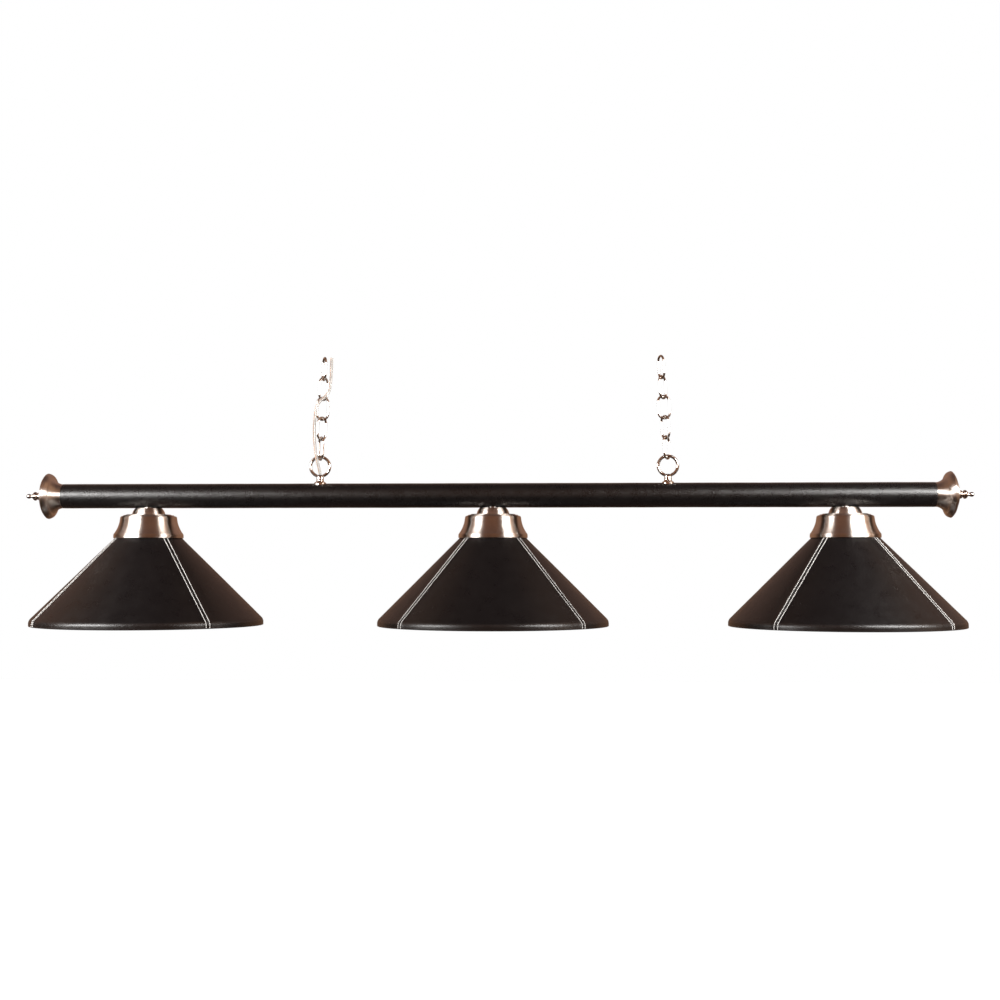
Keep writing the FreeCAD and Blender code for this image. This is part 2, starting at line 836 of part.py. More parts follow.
def socket_body(side, x):
    """Porcelain socket, open below."""
    radius, top, low = dim("socket_radius"), SOCKET_TOP, dim("socket_low")
    points = [
        (NIPPLE_RADIUS, top),
        (12.0, top),
        (13.0, top - 1.0),
        (13.0, top - 6.0, -0.6),
        (radius - 1.0, top - 10.5, 0.5),
        (radius, top - 13.5),
        (radius, low + 4.0),
        (radius + 1.4, low + 3.2),
        (radius + 1.4, low + 0.8),
        (radius + 0.6, low),
        (14.6, low),
        (14.6, top - 16.5),
        (4.2, top - 16.5),
        (4.2, top - 12.0),
        (NIPPLE_RADIUS, top - 12.0),
    ]
    return turned(f"socket_body_{side}", points, x)


def socket_screw_shell(side, x):
    """Threaded brass shell in the socket."""
    outer, inner = 14.2, 13.75
    thread_low = SHELL_THREAD_TOP - THREAD_LENGTH
    low = thread_low - 2.6
    points = [
        (6.0, SCREW_TOP),
        (outer, SCREW_TOP),
        *thread(SHELL_THREAD_TOP, root=outer, crest=14.55),
        (outer, thread_low),
        (outer, low),
        (inner, low),
        (inner, thread_low),
        *reversed(thread(SHELL_THREAD_TOP, root=inner, crest=14.1)),
        (13.6, SCREW_TOP - 0.6),
        (6.0, SCREW_TOP - 0.6),
    ]
    return turned(f"socket_screw_shell_{side}", points, x)


def bulb_base(side, x):
    """Screw base of the bulb."""
    top = SOCKET_TOP - 20.9
    points = [
        (0, top),
        (3.6, top),
        (4.6, SOCKET_TOP - 21.6),
        (11.6, SOCKET_TOP - 21.9),
        (12.6, SCREW_TOP - 2.2),
        # the first root gives way to the shoulder point above
        *thread(BASE_THREAD_TOP, root=12.9, crest=13.3)[1:],
        (12.9, BASE_THREAD_LOW),
        (13.4, BASE_THREAD_LOW - 2.4),
        (12.6, BASE_THREAD_LOW - 2.4),
        (12.4, BASE_THREAD_LOW),
        (12.2, SOCKET_TOP - 23.0),
        (0, SOCKET_TOP - 23.0),
    ]
    return turned(f"bulb_base_{side}", points, x)


def bulb_glass(side, x):
    """A19 bulb: neck in the base, 60 wide globe."""
    neck = BASE_THREAD_LOW
    tip = SOCKET_TOP - 21 - BULB_LENGTH
    points = [
        # outside
        (11.4, neck + 1.0),
        (12.2, neck + 1.0),
        (12.3, neck - 2.5),
        (14.4, neck - 9.0, -1.3),
        (22.6, neck - 24.0, 0.7),
        (28.6, tip + 38.5, 2.0),
        (27.6, tip + 16.0, 3.1),
        (12.0, tip + 2.6, 0.75),
        (0, tip),
        # inside
        (0, tip + 0.9, -0.7),
        (11.7, tip + 3.4, -3.0),
        (26.8, tip + 16.4, -1.9),
        (27.7, tip + 38.4, -0.7),
        (21.8, neck - 24.2, 1.3),
        (13.6, neck - 9.3),
        (11.5, neck - 2.7),
    ]
    return turned(f"bulb_glass_{side}", points, x)


def socket_contact(side, x):
    """Spring contact between the socket and the bulb's base."""
    points = [
        (0, SOCKET_TOP - 16.6),
        (4.1, SOCKET_TOP - 16.6),
        (4.1, SOCKET_TOP - 17.2),
        (2.2, SOCKET_TOP - 18.0),
        (2.2, SOCKET_TOP - 20.4),
        (1.6, SOCKET_TOP - 20.85),
        (0, SOCKET_TOP - 20.85),
    ]
    return turned(f"contact_{side}", points, x)


# ---------------------------------------------------------------- nipple stacks
# Nut and saddle washer in the bar, spacer, clamp washer, nut.
NUT_HEIGHT = dim("nut_height")
STACK_BORE = 5.2
CLAMP_TOP = SHADE_TOP - SHELL_WALL
CLAMP_LOW = CLAMP_TOP - 1.5


def nipple(side, x):
    """Hollow threaded rod, chamfered at both ends."""
    bore, top, low, chamfer = dim("nipple_bore"), -9.8, SOCKET_TOP - 12.0, 0.5
    points = [
        (bore, top),
        (NIPPLE_RADIUS - chamfer, top),
        (NIPPLE_RADIUS, top - chamfer),
        (NIPPLE_RADIUS, low + chamfer),
        (NIPPLE_RADIUS - chamfer, low),
        (bore, low),
    ]
    return turned(f"nipple_{side}", points, x)


def nipple_washer(side, x):
    return saddle_washer(
        f"saddle_{side}", f"saddle_disc_{side}", 5.1, -TUBE_RADIUS, -WASHER_FACE, x
    )


def top_nut(side, x):
    high = NUT_HEIGHT - WASHER_FACE
    return hex_nut(f"top_nut_{side}", NIPPLE_RADIUS, -WASHER_FACE, high, x)


def bottom_nut(side, x):
    return hex_nut(f"low_nut_{side}", NIPPLE_RADIUS, CLAMP_LOW - NUT_HEIGHT, CLAMP_LOW, x)


def shade_spacer(side, x):
    """Sleeve between the fitter cap and the shade shell."""
    radius, top = 8.5, FITTER_TOP - FITTER_WALL
    points = [(STACK_BORE, top), (radius, top), (radius, SHADE_TOP), (STACK_BORE, SHADE_TOP)]
    return turned(f"spacer_{side}", points, x)


def clamp_washer(side, x):
    """Washer under the shell's top disc."""
    points = [
        (STACK_BORE, CLAMP_TOP),
        (15.5, CLAMP_TOP),
        (16.0, CLAMP_TOP - 0.5),
        (16.0, CLAMP_LOW),
        (STACK_BORE, CLAMP_LOW),
    ]
    return turned(f"clamp_{side}", points, x)


for side, x in SHADES:
    for make in (
        neck_cap, fitter_cap, shade_leather, shade_shell,
        socket_body, socket_screw_shell, bulb_base, bulb_glass,
    ):
        nodes.append(make(side, x))
for label, make in (
    ("nipples", nipple),
    ("nipple_top_nuts", top_nut),
    ("nipple_bottom_nuts", bottom_nut),
    ("shade_clamp_washers", clamp_washer),
    ("saddle_washers", nipple_washer),
    ("shade_spacers", shade_spacer),
    ("socket_contacts", socket_contact),
):
    group(label, [make(side, x) for side, x in SHADES])

# ---------------------------------------------------------------- wiring
LEAD_RADIUS = 1.1


def socket_lead(side, x, n):
    """Insulated lead from the socket, up through the nipple into the bar."""
    lead = cylinder(f"lead_{side}_{n}", LEAD_RADIUS, 68.0)
    place(lead, x + (-1.5, 1.5)[n], 0, -73.5)
    return lead


def bar_lead(n):
    """Insulated lead along the bar, a little past the outer shades' axes."""
    half = dim("shade_pitch") + 10
    lead = cylinder(f"lead_bar_{n}", LEAD_RADIUS, 2 * half)
    place(lead, -half, (-2.0, 2.0)[n], 1.5, ALONG_BAR)
    return lead


def wire_connector(side, x, n):
    """Tapered connector lying along the bar."""
    cone = doc.addObject("Part::Cone", f"connector_{side}_{n}")
    cone.Radius1, cone.Radius2, cone.Height = 5.2, 3.4, 17.0
    place(cone, x + 14.0, (-8.2, 8.2)[n], 3.0, ALONG_BAR)
    return cone


leads = [socket_lead(side, x, n) for side, x in SHADES for n in range(2)]
group("lamp_wires", leads + [bar_lead(n) for n in range(2)])
group("wire_connectors", [wire_connector(side, x, n) for side, x in SHADES for n in range(2)])

# ---------------------------------------------------------------- checks and export
doc.recompute()
bad = []
for obj in doc.Objects:
    if "Invalid" in obj.State or "Error" in obj.State:
        bad.append(f"{obj.Label}: {obj.State}")
for obj in nodes:
    if obj.Shape.isNull() or not obj.Shape.isValid() or not obj.Shape.Solids:
        bad.append(f"{obj.Label}: no valid solid")
if bad:
    sys.exit("\n".join(bad))
for obj in nodes:
    obj.Shape.exportStep(os.path.join("parts", f"{obj.Label}.step"))
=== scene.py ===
"""A pendant lamp: a leather-wrapped bar with three leather-covered cone shades below it.

The bar lies along X with its axis at z = 0. The shades hang below it, side by side along X, and
their axes are upright. The front faces -Y and +X is on the right. Sizes are in millimetres,
and MM turns them into metres. Materials and the studio use metres.
"""
import math
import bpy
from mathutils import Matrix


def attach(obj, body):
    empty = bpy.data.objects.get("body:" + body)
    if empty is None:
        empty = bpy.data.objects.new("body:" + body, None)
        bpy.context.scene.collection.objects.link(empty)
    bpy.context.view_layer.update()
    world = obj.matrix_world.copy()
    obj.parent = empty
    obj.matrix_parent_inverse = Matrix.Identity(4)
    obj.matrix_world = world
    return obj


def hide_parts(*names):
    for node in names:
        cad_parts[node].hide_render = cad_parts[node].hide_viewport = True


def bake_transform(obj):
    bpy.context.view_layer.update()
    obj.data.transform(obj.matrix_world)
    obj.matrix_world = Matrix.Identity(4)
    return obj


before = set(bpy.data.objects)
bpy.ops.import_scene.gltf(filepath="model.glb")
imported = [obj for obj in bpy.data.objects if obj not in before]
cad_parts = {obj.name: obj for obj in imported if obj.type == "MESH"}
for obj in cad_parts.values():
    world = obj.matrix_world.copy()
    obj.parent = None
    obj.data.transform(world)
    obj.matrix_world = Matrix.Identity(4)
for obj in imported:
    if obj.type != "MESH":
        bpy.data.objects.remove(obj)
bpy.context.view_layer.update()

from types import SimpleNamespace

import bpy
import numpy as np
from mathutils import Vector

scene = bpy.context.scene
random = np.random.default_rng(7)

MM = 0.001
SHADE_PITCH = 560.0
SHADE_X = {"left": -SHADE_PITCH, "middle": 0.0, "right": SHADE_PITCH}


# ---------------------------------------------------------------- shader graphs
MATH_DEFAULT = 0.5  # what Blender leaves on an unset input of a Math node


class Graph:
    """Short calls that add nodes to an emptied node tree and return their output sockets."""

    def __init__(self, tree, spare=0.0):
        """spare goes on the third input of each Math node that doesn't use it."""
        tree.nodes.clear()
        self.tree = tree
        self.spare = spare

    def put(self, socket, value):
        """Link a socket to an input, or set the input to a number, a vector or an RGB colour."""
        if isinstance(value, bpy.types.NodeSocket):
            self.tree.links.new(value, socket)
        elif socket.type == "RGBA":
            socket.default_value = (*value, 1)
        else:
            socket.default_value = value

    def node(self, kind, inputs=(), **settings):
        made = self.tree.nodes.new("ShaderNode" + kind)
        for key, value in settings.items():
            setattr(made, key, value)
        for key, value in dict(inputs).items():
            self.put(made.inputs[key], value)
        return made

    def calc(self, operation, a, b=0.0, c=None, clamp=False):
        inputs = {0: a, 1: b, 2: self.spare if c is None else c}
        return self.node("Math", inputs, operation=operation, use_clamp=clamp).outputs[0]

    def invert(self, value):
        return self.calc("SUBTRACT", 1.0, value)

    def remap(self, value, source, target=(0.0, 1.0), smooth=False):
        """Carry the source range over to the target range."""
        inputs = dict(enumerate((value, *source, *target)))
        kind = "SMOOTHSTEP" if smooth else "LINEAR"
        return self.node("MapRange", inputs, interpolation_type=kind).outputs[0]

    def mix(self, share, a, b):
        """Colour a, giving way to colour b as the share rises."""
        return self.node("Mix", data_type="RGBA", inputs={0: share, 6: a, 7: b}).outputs[2]

    def parts(self, vector):
        return tuple(self.node("SeparateXYZ", {0: vector}).outputs)


class Material(Graph):
    """A procedural material: a Principled shader and the textures that feed it."""

    def __init__(self, name):
        self.material = bpy.data.materials.new(name)
        self.material.use_nodes = True
        super().__init__(self.material.node_tree)
        self.shader = self.node("BsdfPrincipled")
        self.output = self.node("OutputMaterial", {0: self.shader.outputs[0]})
        self.coords = self.node("TexCoord").outputs["Object"]

    def surface(self, **values):
        """Fill the Principled inputs, with _ for each space in a name, and return the material."""
        for key, value in values.items():
            self.put(self.shader.inputs[key.replace("_", " ")], value)
        return self.material

    def noise(self, size, detail=2.0, rough=0.5, vector=None, distort=0.0):
        inputs = {"Vector": vector or self.coords, "Scale": 1 / size, "Detail": detail,
                  "Roughness": rough, "Distortion": distort}
        return self.node("TexNoise", inputs).outputs[0]

    def cells(self, size, feature, vector):
        inputs = {"Vector": vector, "Scale": 1 / size, "Randomness": 1.0}
        return self.node("TexVoronoi", inputs, feature=feature).outputs["Distance"]

    def attribute(self, name):
        return self.node("Attribute", attribute_name=name)

    def bump(self, height, depth, strength):
        inputs = {"Strength": strength, "Distance": depth, "Height": height}
        return self.node("Bump", inputs).outputs[0]


def dim(colour, factor):
    return tuple(c * factor for c in colour)


# ---------------------------------------------------------------- materials
MIDDLE = (0.3, 0.7)  # the range that noise mostly stays in


def leather(name, cell, depth, base, light, rough, wear_and_highlight, level, coat):
    """Dyed cowhide: irregular pebbles with fine creases between them and a little uneven dye."""
    mat = Material(name)
    warp = mat.noise(cell * 3.1).node.outputs["Color"]
    shift = mat.node("VectorMath", {0: warp, "Scale": cell * 0.9}, operation="SCALE").outputs[0]
    bent = mat.node("VectorMath", {0: mat.coords, 1: shift}, operation="ADD").outputs[0]
    crease = mat.remap(mat.cells(cell, "DISTANCE_TO_EDGE", bent), (0.0, 0.22), smooth=True)
    crown = mat.invert(mat.cells(cell, "F1", bent))
    small = mat.remap(mat.cells(cell * 0.42, "DISTANCE_TO_EDGE", bent), (0.0, 0.3), smooth=True)
    fine = mat.noise(cell * 0.16)
    broad = mat.noise(cell * 9.0, detail=3.0, rough=0.55)
    height = mat.calc("MULTIPLY", crease, 0.55)
    for layer, share in ((crown, 0.25), (small, 0.16), (fine, 0.12), (broad, 1.6)):
        height = mat.calc("MULTIPLY_ADD", layer, share, height)

    dye = mat.noise(size=0.055, detail=4.0, rough=0.6)
    colour = mat.mix(mat.remap(dye, (0.32, 0.7)), base, light)
    # painted shade: the creases between the pebbles are darkened towards 0.45 of the base colour
    crease_shade = mat.calc("MULTIPLY", mat.invert(crease), 0.45)
    colour = mat.mix(crease_shade, colour, dim(base, 0.45))
    gloss = mat.remap(mat.noise(size=0.02, detail=3.0, rough=0.6), MIDDLE, rough)
    gloss = mat.calc("MULTIPLY_ADD", mat.invert(crease), 0.12, gloss)
    # rubbed places are paler and smoother, and so is the painted highlight along the fold above
    # each shade's rim
    patches = mat.remap(mat.noise(size=0.006, detail=4.0, rough=0.65), (0.35, 0.65), (0.35, 1.0))
    rub_and_highlight = mat.calc("MULTIPLY", mat.attribute("wear_and_highlight").outputs["Fac"], patches, clamp=True)
    colour = mat.mix(rub_and_highlight, colour, wear_and_highlight)
    gloss = mat.calc("MULTIPLY_ADD", rub_and_highlight, -0.09, gloss)
    return mat.surface(
        Base_Color=colour, Roughness=gloss, Normal=mat.bump(height, depth, strength=0.9),
        IOR=1.52, Specular_IOR_Level=level, Coat_Weight=coat, Coat_Roughness=0.28,
        Sheen_Weight=0.02, Sheen_Roughness=0.45, Sheen_Tint=(0.9, 0.75, 0.68))


def spun_metal(name, axis, base, rough, anisotropy):
    """Plated sheet spun on a lathe: fine rings round the axis, faint smears, uneven plating."""
    ring_size = 0.00028
    mat = Material(name)
    x, y, z = mat.parts(mat.coords)
    if axis == "Z":
        pitch = SHADE_PITCH * MM
        nearest = mat.calc("MULTIPLY", mat.calc("ROUND", mat.calc("DIVIDE", x, pitch)), pitch)
        a, b, along = mat.calc("SUBTRACT", x, nearest), y, z
    else:
        a, b, along = y, z, x
    squares = mat.calc("ADD", mat.calc("MULTIPLY", a, a), mat.calc("MULTIPLY", b, b))
    radius = mat.calc("SQRT", squares)
    ring = mat.node("CombineXYZ", {0: radius, 1: along, 2: 0.0}).outputs[0]
    turned = mat.noise(ring_size, rough=0.6, vector=ring)
    coarse = mat.noise(ring_size * 5, vector=ring)
    smear = mat.noise(size=0.012, detail=4.0, rough=0.62, distort=0.6)
    spots = mat.remap(mat.noise(size=0.0016), (0.62, 0.74))
    height = mat.calc("MULTIPLY_ADD", coarse, 0.6, turned)
    colour = mat.mix(mat.remap(smear, MIDDLE), base, dim(base, 0.93))
    colour = mat.mix(mat.calc("MULTIPLY", spots, 0.25), colour, dim(base, 0.7))
    gloss = mat.remap(smear, (0.25, 0.75), rough)
    gloss = mat.calc("MULTIPLY_ADD", mat.calc("SUBTRACT", turned, 0.5), 0.05, gloss)
    tangent = mat.node("Tangent", direction_type="RADIAL", axis=axis).outputs[0]
    return mat.surface(
        Base_Color=colour, Roughness=gloss, Metallic=1.0,
        Normal=mat.bump(height, depth=0.0000035, strength=0.7),
        Anisotropic=anisotropy, Anisotropic_Rotation=0.25, Tangent=tangent)


def plated_wire(name, base, rough):
    """Bright plating: soft orange peel, dull patches and a thin dark film in places."""
    mat = Material(name)
    peel = mat.noise(size=0.0022, detail=3.0)
    fine = mat.noise(size=0.0004)
    patch = mat.noise(size=0.006, detail=4.0, rough=0.6)
    film = mat.remap(mat.noise(size=0.0034, detail=5.0, rough=0.7), (0.56, 0.72))
    film_colour = (base[0] * 0.55, base[1] * 0.5, base[2] * 0.45)
    colour = mat.mix(mat.remap(patch, (0.35, 0.65)), base, dim(base, 0.9))
    colour = mat.mix(mat.calc("MULTIPLY", film, 0.3), colour, film_colour)
    gloss = mat.calc("MULTIPLY_ADD", film, 0.12, mat.remap(patch, MIDDLE, rough))
    height = mat.calc("MULTIPLY_ADD", fine, 0.2, peel)
    return mat.surface(Base_Color=colour, Roughness=gloss, Metallic=1.0,
                       Normal=mat.bump(height, depth=0.00003, strength=0.6))


def machined(name, base, rough):
    """Bare metal with scratches squeezed along Z, dull patches and tarnish."""
    mat = Material(name)
    squeezed = mat.node("VectorMath", {0: mat.coords, 1: (1.0, 1.0, 7.0)}, operation="MULTIPLY")
    scratch = mat.noise(size=0.0005, detail=3.0, rough=0.6, vector=squeezed.outputs[0])
    patch = mat.noise(size=0.008, detail=4.0, rough=0.6)
    tarnish = mat.remap(mat.noise(size=0.003, detail=5.0, rough=0.7), (0.5, 0.75))
    colour = mat.mix(mat.remap(patch, MIDDLE), base, dim(base, 0.8))
    colour = mat.mix(mat.calc("MULTIPLY", tarnish, 0.5), colour, dim(base, 0.5))
    gloss = mat.remap(patch, MIDDLE, (rough - 0.06, rough + 0.1))
    return mat.surface(Base_Color=colour, Roughness=gloss, Metallic=1.0,
                       Normal=mat.bump(scratch, depth=0.00001, strength=0.7))


def enamel(name, base):
    """Baked enamel: orange peel and a little dust."""
    mat = Material(name)
    peel = mat.noise(size=0.0024, rough=0.45)
    dust = mat.noise(size=0.03, detail=5.0, rough=0.65)
    return mat.surface(
        Base_Color=mat.mix(mat.remap(dust, (0.35, 0.75)), base, dim(base, 0.93)),
        Roughness=mat.remap(dust, MIDDLE, (0.2, 0.34)),
        Normal=mat.bump(peel, depth=0.00004, strength=0.5),
        Coat_Weight=0.35, Coat_Roughness=0.12)


def ceramic(name, base):
    """Glazed, gently wavy and finely speckled."""
    mat = Material(name)
    speck = mat.remap(mat.noise(size=0.0012, detail=3.0, rough=0.6), (0.62, 0.72))
    wave = mat.noise(size=0.01, detail=3.0)
    colour = mat.mix(mat.remap(wave, MIDDLE), base, dim(base, 0.94))
    return mat.surface(
        Base_Color=mat.mix(mat.calc("MULTIPLY", speck, 0.25), colour, dim(base, 0.6)),
        Roughness=mat.remap(wave, MIDDLE, (0.16, 0.26)),
        Normal=mat.bump(wave, depth=0.0001, strength=0.4),
        Coat_Weight=0.5, Coat_Roughness=0.06)


def moulded(name, base, rough):
    """Moulded plastic with a fine etched surface."""
    mat = Material(name)
    etch = mat.noise(size=0.0005, detail=3.0, rough=0.6)
    flow = mat.noise(size=0.012, detail=3.0, rough=0.6)
    paler = tuple(c * 1.25 + 0.004 for c in base)
    return mat.surface(Base_Color=mat.mix(mat.remap(flow, MIDDLE), base, paler),
                       Roughness=mat.remap(flow, MIDDLE, (rough - 0.05, rough + 0.08)),
                       Normal=mat.bump(etch, depth=0.00003, strength=0.7))


def opal(name):
    """Soft white lamp glass, cloudy under a clear coat."""
    mat = Material(name)
    film = mat.noise(size=0.004, detail=4.0, rough=0.6)
    cloud = mat.noise(size=0.03, detail=3.0)
    return mat.surface(
        Base_Color=mat.mix(mat.remap(cloud, MIDDLE), (0.93, 0.92, 0.89), (0.88, 0.87, 0.84)),
        Roughness=mat.remap(film, MIDDLE, (0.3, 0.42)),
        Subsurface_Weight=0.25, Subsurface_Radius=(0.004, 0.004, 0.004),
        Coat_Weight=0.8, Coat_Roughness=0.04)


def thread(name):
    """Plied thread: the plies twist round each stitch, following its "ply" attribute."""
    mat = Material(name)
    along, around, _ = mat.parts(mat.attribute("ply").outputs["Vector"])
    # turns round the stitch, and turns gained along it
    angle = mat.calc("ADD", mat.calc("MULTIPLY", around, 1.5), mat.calc("MULTIPLY", along, 4.6))
    twist = mat.calc("ABSOLUTE", mat.calc("SINE", angle))
    fuzz = mat.noise(size=0.00018, detail=3.0, rough=0.6)
    soil = mat.noise(size=0.006, detail=4.0, rough=0.6)
    colour = mat.mix(mat.remap(soil, (0.35, 0.7)), (0.93, 0.91, 0.88), (0.83, 0.8, 0.76))
    # painted shade: the grooves between the plies are darkened
    colour = mat.mix(mat.remap(twist, (0.0, 0.3), (0.5, 0.0)), colour, (0.5, 0.45, 0.4))
    height = mat.calc("MULTIPLY_ADD", fuzz, 0.3, twist)
    return mat.surface(Base_Color=colour, Roughness=0.55, Sheen_Weight=0.2,
                       Normal=mat.bump(height, depth=0.00012, strength=0.8))


def clear_vinyl(name):
    """Clear flexible jacket: mostly see-through, firmer along its edges, a little cloudy."""
    mat = Material(name)
    cloud = mat.noise(size=0.01, detail=3.0, rough=0.6)
    ripple = mat.noise(size=0.003)
    through = mat.node("BsdfTransparent", {0: (0.95, 0.93, 0.9)})
    edge = mat.node("LayerWeight", {0: 0.35})
    solid = mat.remap(edge.outputs["Facing"], (0.0, 1.0), (0.2, 0.7))
    blend = mat.node("MixShader", {0: solid, 1: through.outputs[0], 2: mat.shader.outputs[0]})
    mat.put(mat.output.inputs[0], blend.outputs[0])
    return mat.surface(
        Base_Color=mat.mix(mat.remap(cloud, MIDDLE), (0.88, 0.86, 0.83), (0.95, 0.93, 0.9)),
        Roughness=mat.remap(cloud, MIDDLE, (0.12, 0.22)),
        Normal=mat.bump(ripple, depth=0.00005, strength=0.6), Coat_Weight=0.4)


def stranded(name, base):
    """Fine bare strands twisted together."""
    mat = Material(name)
    x, y, z = mat.parts(mat.coords)
    # radians of twist per metre, across and along
    across = mat.calc("MULTIPLY", mat.calc("ADD", x, y), 5200.0)
    lay = mat.calc("SINE", mat.calc("MULTIPLY_ADD", z, 3600.0, across))
    dull = mat.noise(size=0.004, detail=3.0, rough=0.6)
    # painted shade: the grooves between the strands are darkened
    return mat.surface(Base_Color=mat.mix(mat.remap(lay, (-1.0, 1.0)), dim(base, 0.55), base),
                       Roughness=mat.remap(dull, MIDDLE, (0.24, 0.4)), Metallic=1.0,
                       Normal=mat.bump(lay, depth=0.00012, strength=0.8))


SATIN = dict(base=(0.80, 0.745, 0.69), rough=(0.34, 0.42), anisotropy=0.98)
FINISHES = {
    "bar_leather": leather(
        "bar_leather", cell=0.0021, depth=0.00013, base=(0.0022, 0.0018, 0.002),
        light=(0.0042, 0.0033, 0.0034), rough=(0.23, 0.32), wear_and_highlight=(0.014, 0.011, 0.011),
        level=0.62, coat=0.1),
    "shade_leather": leather(
        "shade_leather", cell=0.0013, depth=0.00005, base=(0.0024, 0.0019, 0.0021),
        light=(0.0044, 0.0034, 0.0035), rough=(0.26, 0.34), wear_and_highlight=(0.018, 0.014, 0.014),
        level=0.56, coat=0.0),
    "white_enamel": enamel("white_enamel", base=(0.86, 0.85, 0.82)),
    "brushed_z": spun_metal("satin_nickel_upright", "Z", **SATIN),
    "brushed_x": spun_metal("satin_nickel_level", "X", **SATIN),
    "turned_x": spun_metal("turned_nickel", "X", base=(0.7, 0.62, 0.56), rough=(0.14, 0.22),
                           anisotropy=0.4),
    "bright_nickel": plated_wire("bright_nickel", base=(0.86, 0.83, 0.79), rough=(0.1, 0.2)),
    "tube_steel": machined("tube_steel", base=(0.42, 0.41, 0.4), rough=0.42),
    "zinc_steel": machined("zinc_steel", base=(0.62, 0.61, 0.56), rough=0.34),
    "porcelain": ceramic("glazed_porcelain", base=(0.82, 0.8, 0.75)),
    "brass": machined("brass", base=(0.83, 0.6, 0.26), rough=0.28),
    "bulb_metal": machined("bulb_base_metal", base=(0.78, 0.77, 0.74), rough=0.27),
    "opal_glass": opal("opal_glass"),
    "clear_cord": clear_vinyl("clear_vinyl"),
    "black_nylon": moulded("black_nylon", base=(0.012, 0.012, 0.013), rough=0.42),
    "wire_insulation": moulded("wire_insulation", base=(0.025, 0.024, 0.024), rough=0.36),
    "grey_plastic": moulded("grey_plastic", base=(0.2, 0.2, 0.21), rough=0.45),
    "thread": thread("sewing_thread"),
    "copper": stranded("copper_strands", base=(0.93, 0.55, 0.36)),
    "tinned": stranded("tinned_strands", base=(0.8, 0.8, 0.79)),
}

# finish: how the names of its CAD pieces begin
PIECES_BY_FINISH = {
    "tube_steel": ["bar_tube"],
    "zinc_steel": ["end_plug", "finial_studs", "loop_lock_washers", "loop_nuts",
                   "nipple_top_nuts", "shade_clamp_washers", "saddle_washers", "shade_spacers"],
    "brushed_x": ["end_cap"],
    "turned_x": ["finial"],
    "bright_nickel": ["hanging_loop", "left_link", "right_link"],
    "black_nylon": ["cord_bushing"],
    "brushed_z": ["neck_cap", "fitter_cap"],
    "white_enamel": ["shade_shell"],
    "porcelain": ["socket_body"],
    "brass": ["socket_screw_shell", "socket_contacts", "nipples", "nipple_bottom_nuts"],
    "bulb_metal": ["bulb_base"],
    "opal_glass": ["bulb_glass"],
    "wire_insulation": ["lamp_wires"],
    "grey_plastic": ["wire_connectors"],
}


def finish_cad_pieces():
    """Give each CAD piece the finish of its longest matching beginning, or else tube steel."""
    finish_of = {start: key for key, starts in PIECES_BY_FINISH.items() for start in starts}
    for name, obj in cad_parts.items():
        start = max((s for s in finish_of if name.startswith(s)), key=len, default="bar_tube")
        finish = FINISHES[finish_of[start]]
        if obj.material_slots:
            for slot in obj.material_slots:
                slot.material = finish
        else:
            obj.data.materials.append(finish)


finish_cad_pieces()


# ---------------------------------------------------------------- mesh helpers
def make_mesh(name, verts, faces, material, sharp_angle, attributes=None, extra=()):
    """A closed mesh from vertices in millimetres, with its faces turned outwards.

    extra holds (material, slice of faces) pairs for any further materials.
    """
    verts = np.asarray(verts, float) * MM
    faces = [tuple(int(i) for i in face) for face in faces]
    tris = np.array([(f[0], f[i], f[i + 1]) for f in faces for i in range(1, len(f) - 1)])
    a, b, c = (verts[tris[:, i]] for i in range(3))
    volume = np.sum(np.einsum("ij,ij->i", a, np.cross(b, c)))
    if volume < 0:
        faces = [face[::-1] for face in faces]
    mesh = bpy.data.meshes.new(name)
    mesh.from_pydata(verts.tolist(), [], faces)
    mesh.update()
    mesh.polygons.foreach_set("use_smooth", [True] * len(mesh.polygons))
    mesh.set_sharp_from_angle(angle=math.radians(sharp_angle))
    for key, values in (attributes or {}).items():
        values = np.asarray(values, np.float32)
        kind, field = ("FLOAT", "value") if values.ndim == 1 else ("FLOAT_VECTOR", "vector")
        mesh.attributes.new(key, kind, "POINT").data.foreach_set(field, values.ravel())
    obj = bpy.data.objects.new(name, mesh)
    scene.collection.objects.link(obj)
    mesh.materials.append(material)
    if extra:
        index = np.zeros(len(faces), np.int32)
        for slot, (other, chosen) in enumerate(extra, 1):
            mesh.materials.append(other)
            index[chosen] = slot
        mesh.polygons.foreach_set("material_index", index)
    return obj


def grid_faces(rows, cols, wrap_rows=False, base=0):
    """Quads between rings of vertices. The last row joins the first where wrap_rows is set."""
    i, j = np.meshgrid(np.arange(rows if wrap_rows else rows - 1), np.arange(cols), indexing="ij")
    i2, j2 = (i + 1) % rows, (j + 1) % cols
    corners = [i * cols + j, i * cols + j2, i2 * cols + j2, i2 * cols + j]
    return np.stack(corners, -1).reshape(-1, 4) + base


def mirrored(offsets):
    """Offsets that start at 0, with their negatives put before them."""
    return np.concatenate([-offsets[:0:-1], offsets])


# ---------------------------------------------------------------- leather on the shades
CONE_TOP = (44.0, -59.0)
CONE_END = (181.82, -196.82)
RIM_END = (185.0, -208.1)
# (radius, z) clockwise round the leather's section; a third number is the bulge of the arc
# that runs on to the next point, positive away from the leather
SHADE_OUTLINE = [
    CONE_TOP, (*CONE_END, 0.83), (185.0, -204.5), (*RIM_END, 0.26), (184.1, -209.0),
    (182.0, -209.0), (181.6, -208.4), (181.6, -205.0), (182.7, -205.0), (182.7, -207.8),
    (183.6, -207.8), (183.6, -204.5, -0.72), (180.83, -197.81), (43.01, -59.99),
]
ARC_STEP = 6.0  # degrees
STITCH_PITCH = 3.0
ROW_OFFSET = 3.2  # from a seam to the stitches on each side of it
# degrees from the front towards +X
SEAM_ANGLES = {"left": (45.0, 134.0, 221.0, 305.5), "middle": (51.0, 139.5, 226.0, 312.8),
               "right": (46.8, 138.0, 228.0, 316.0)}
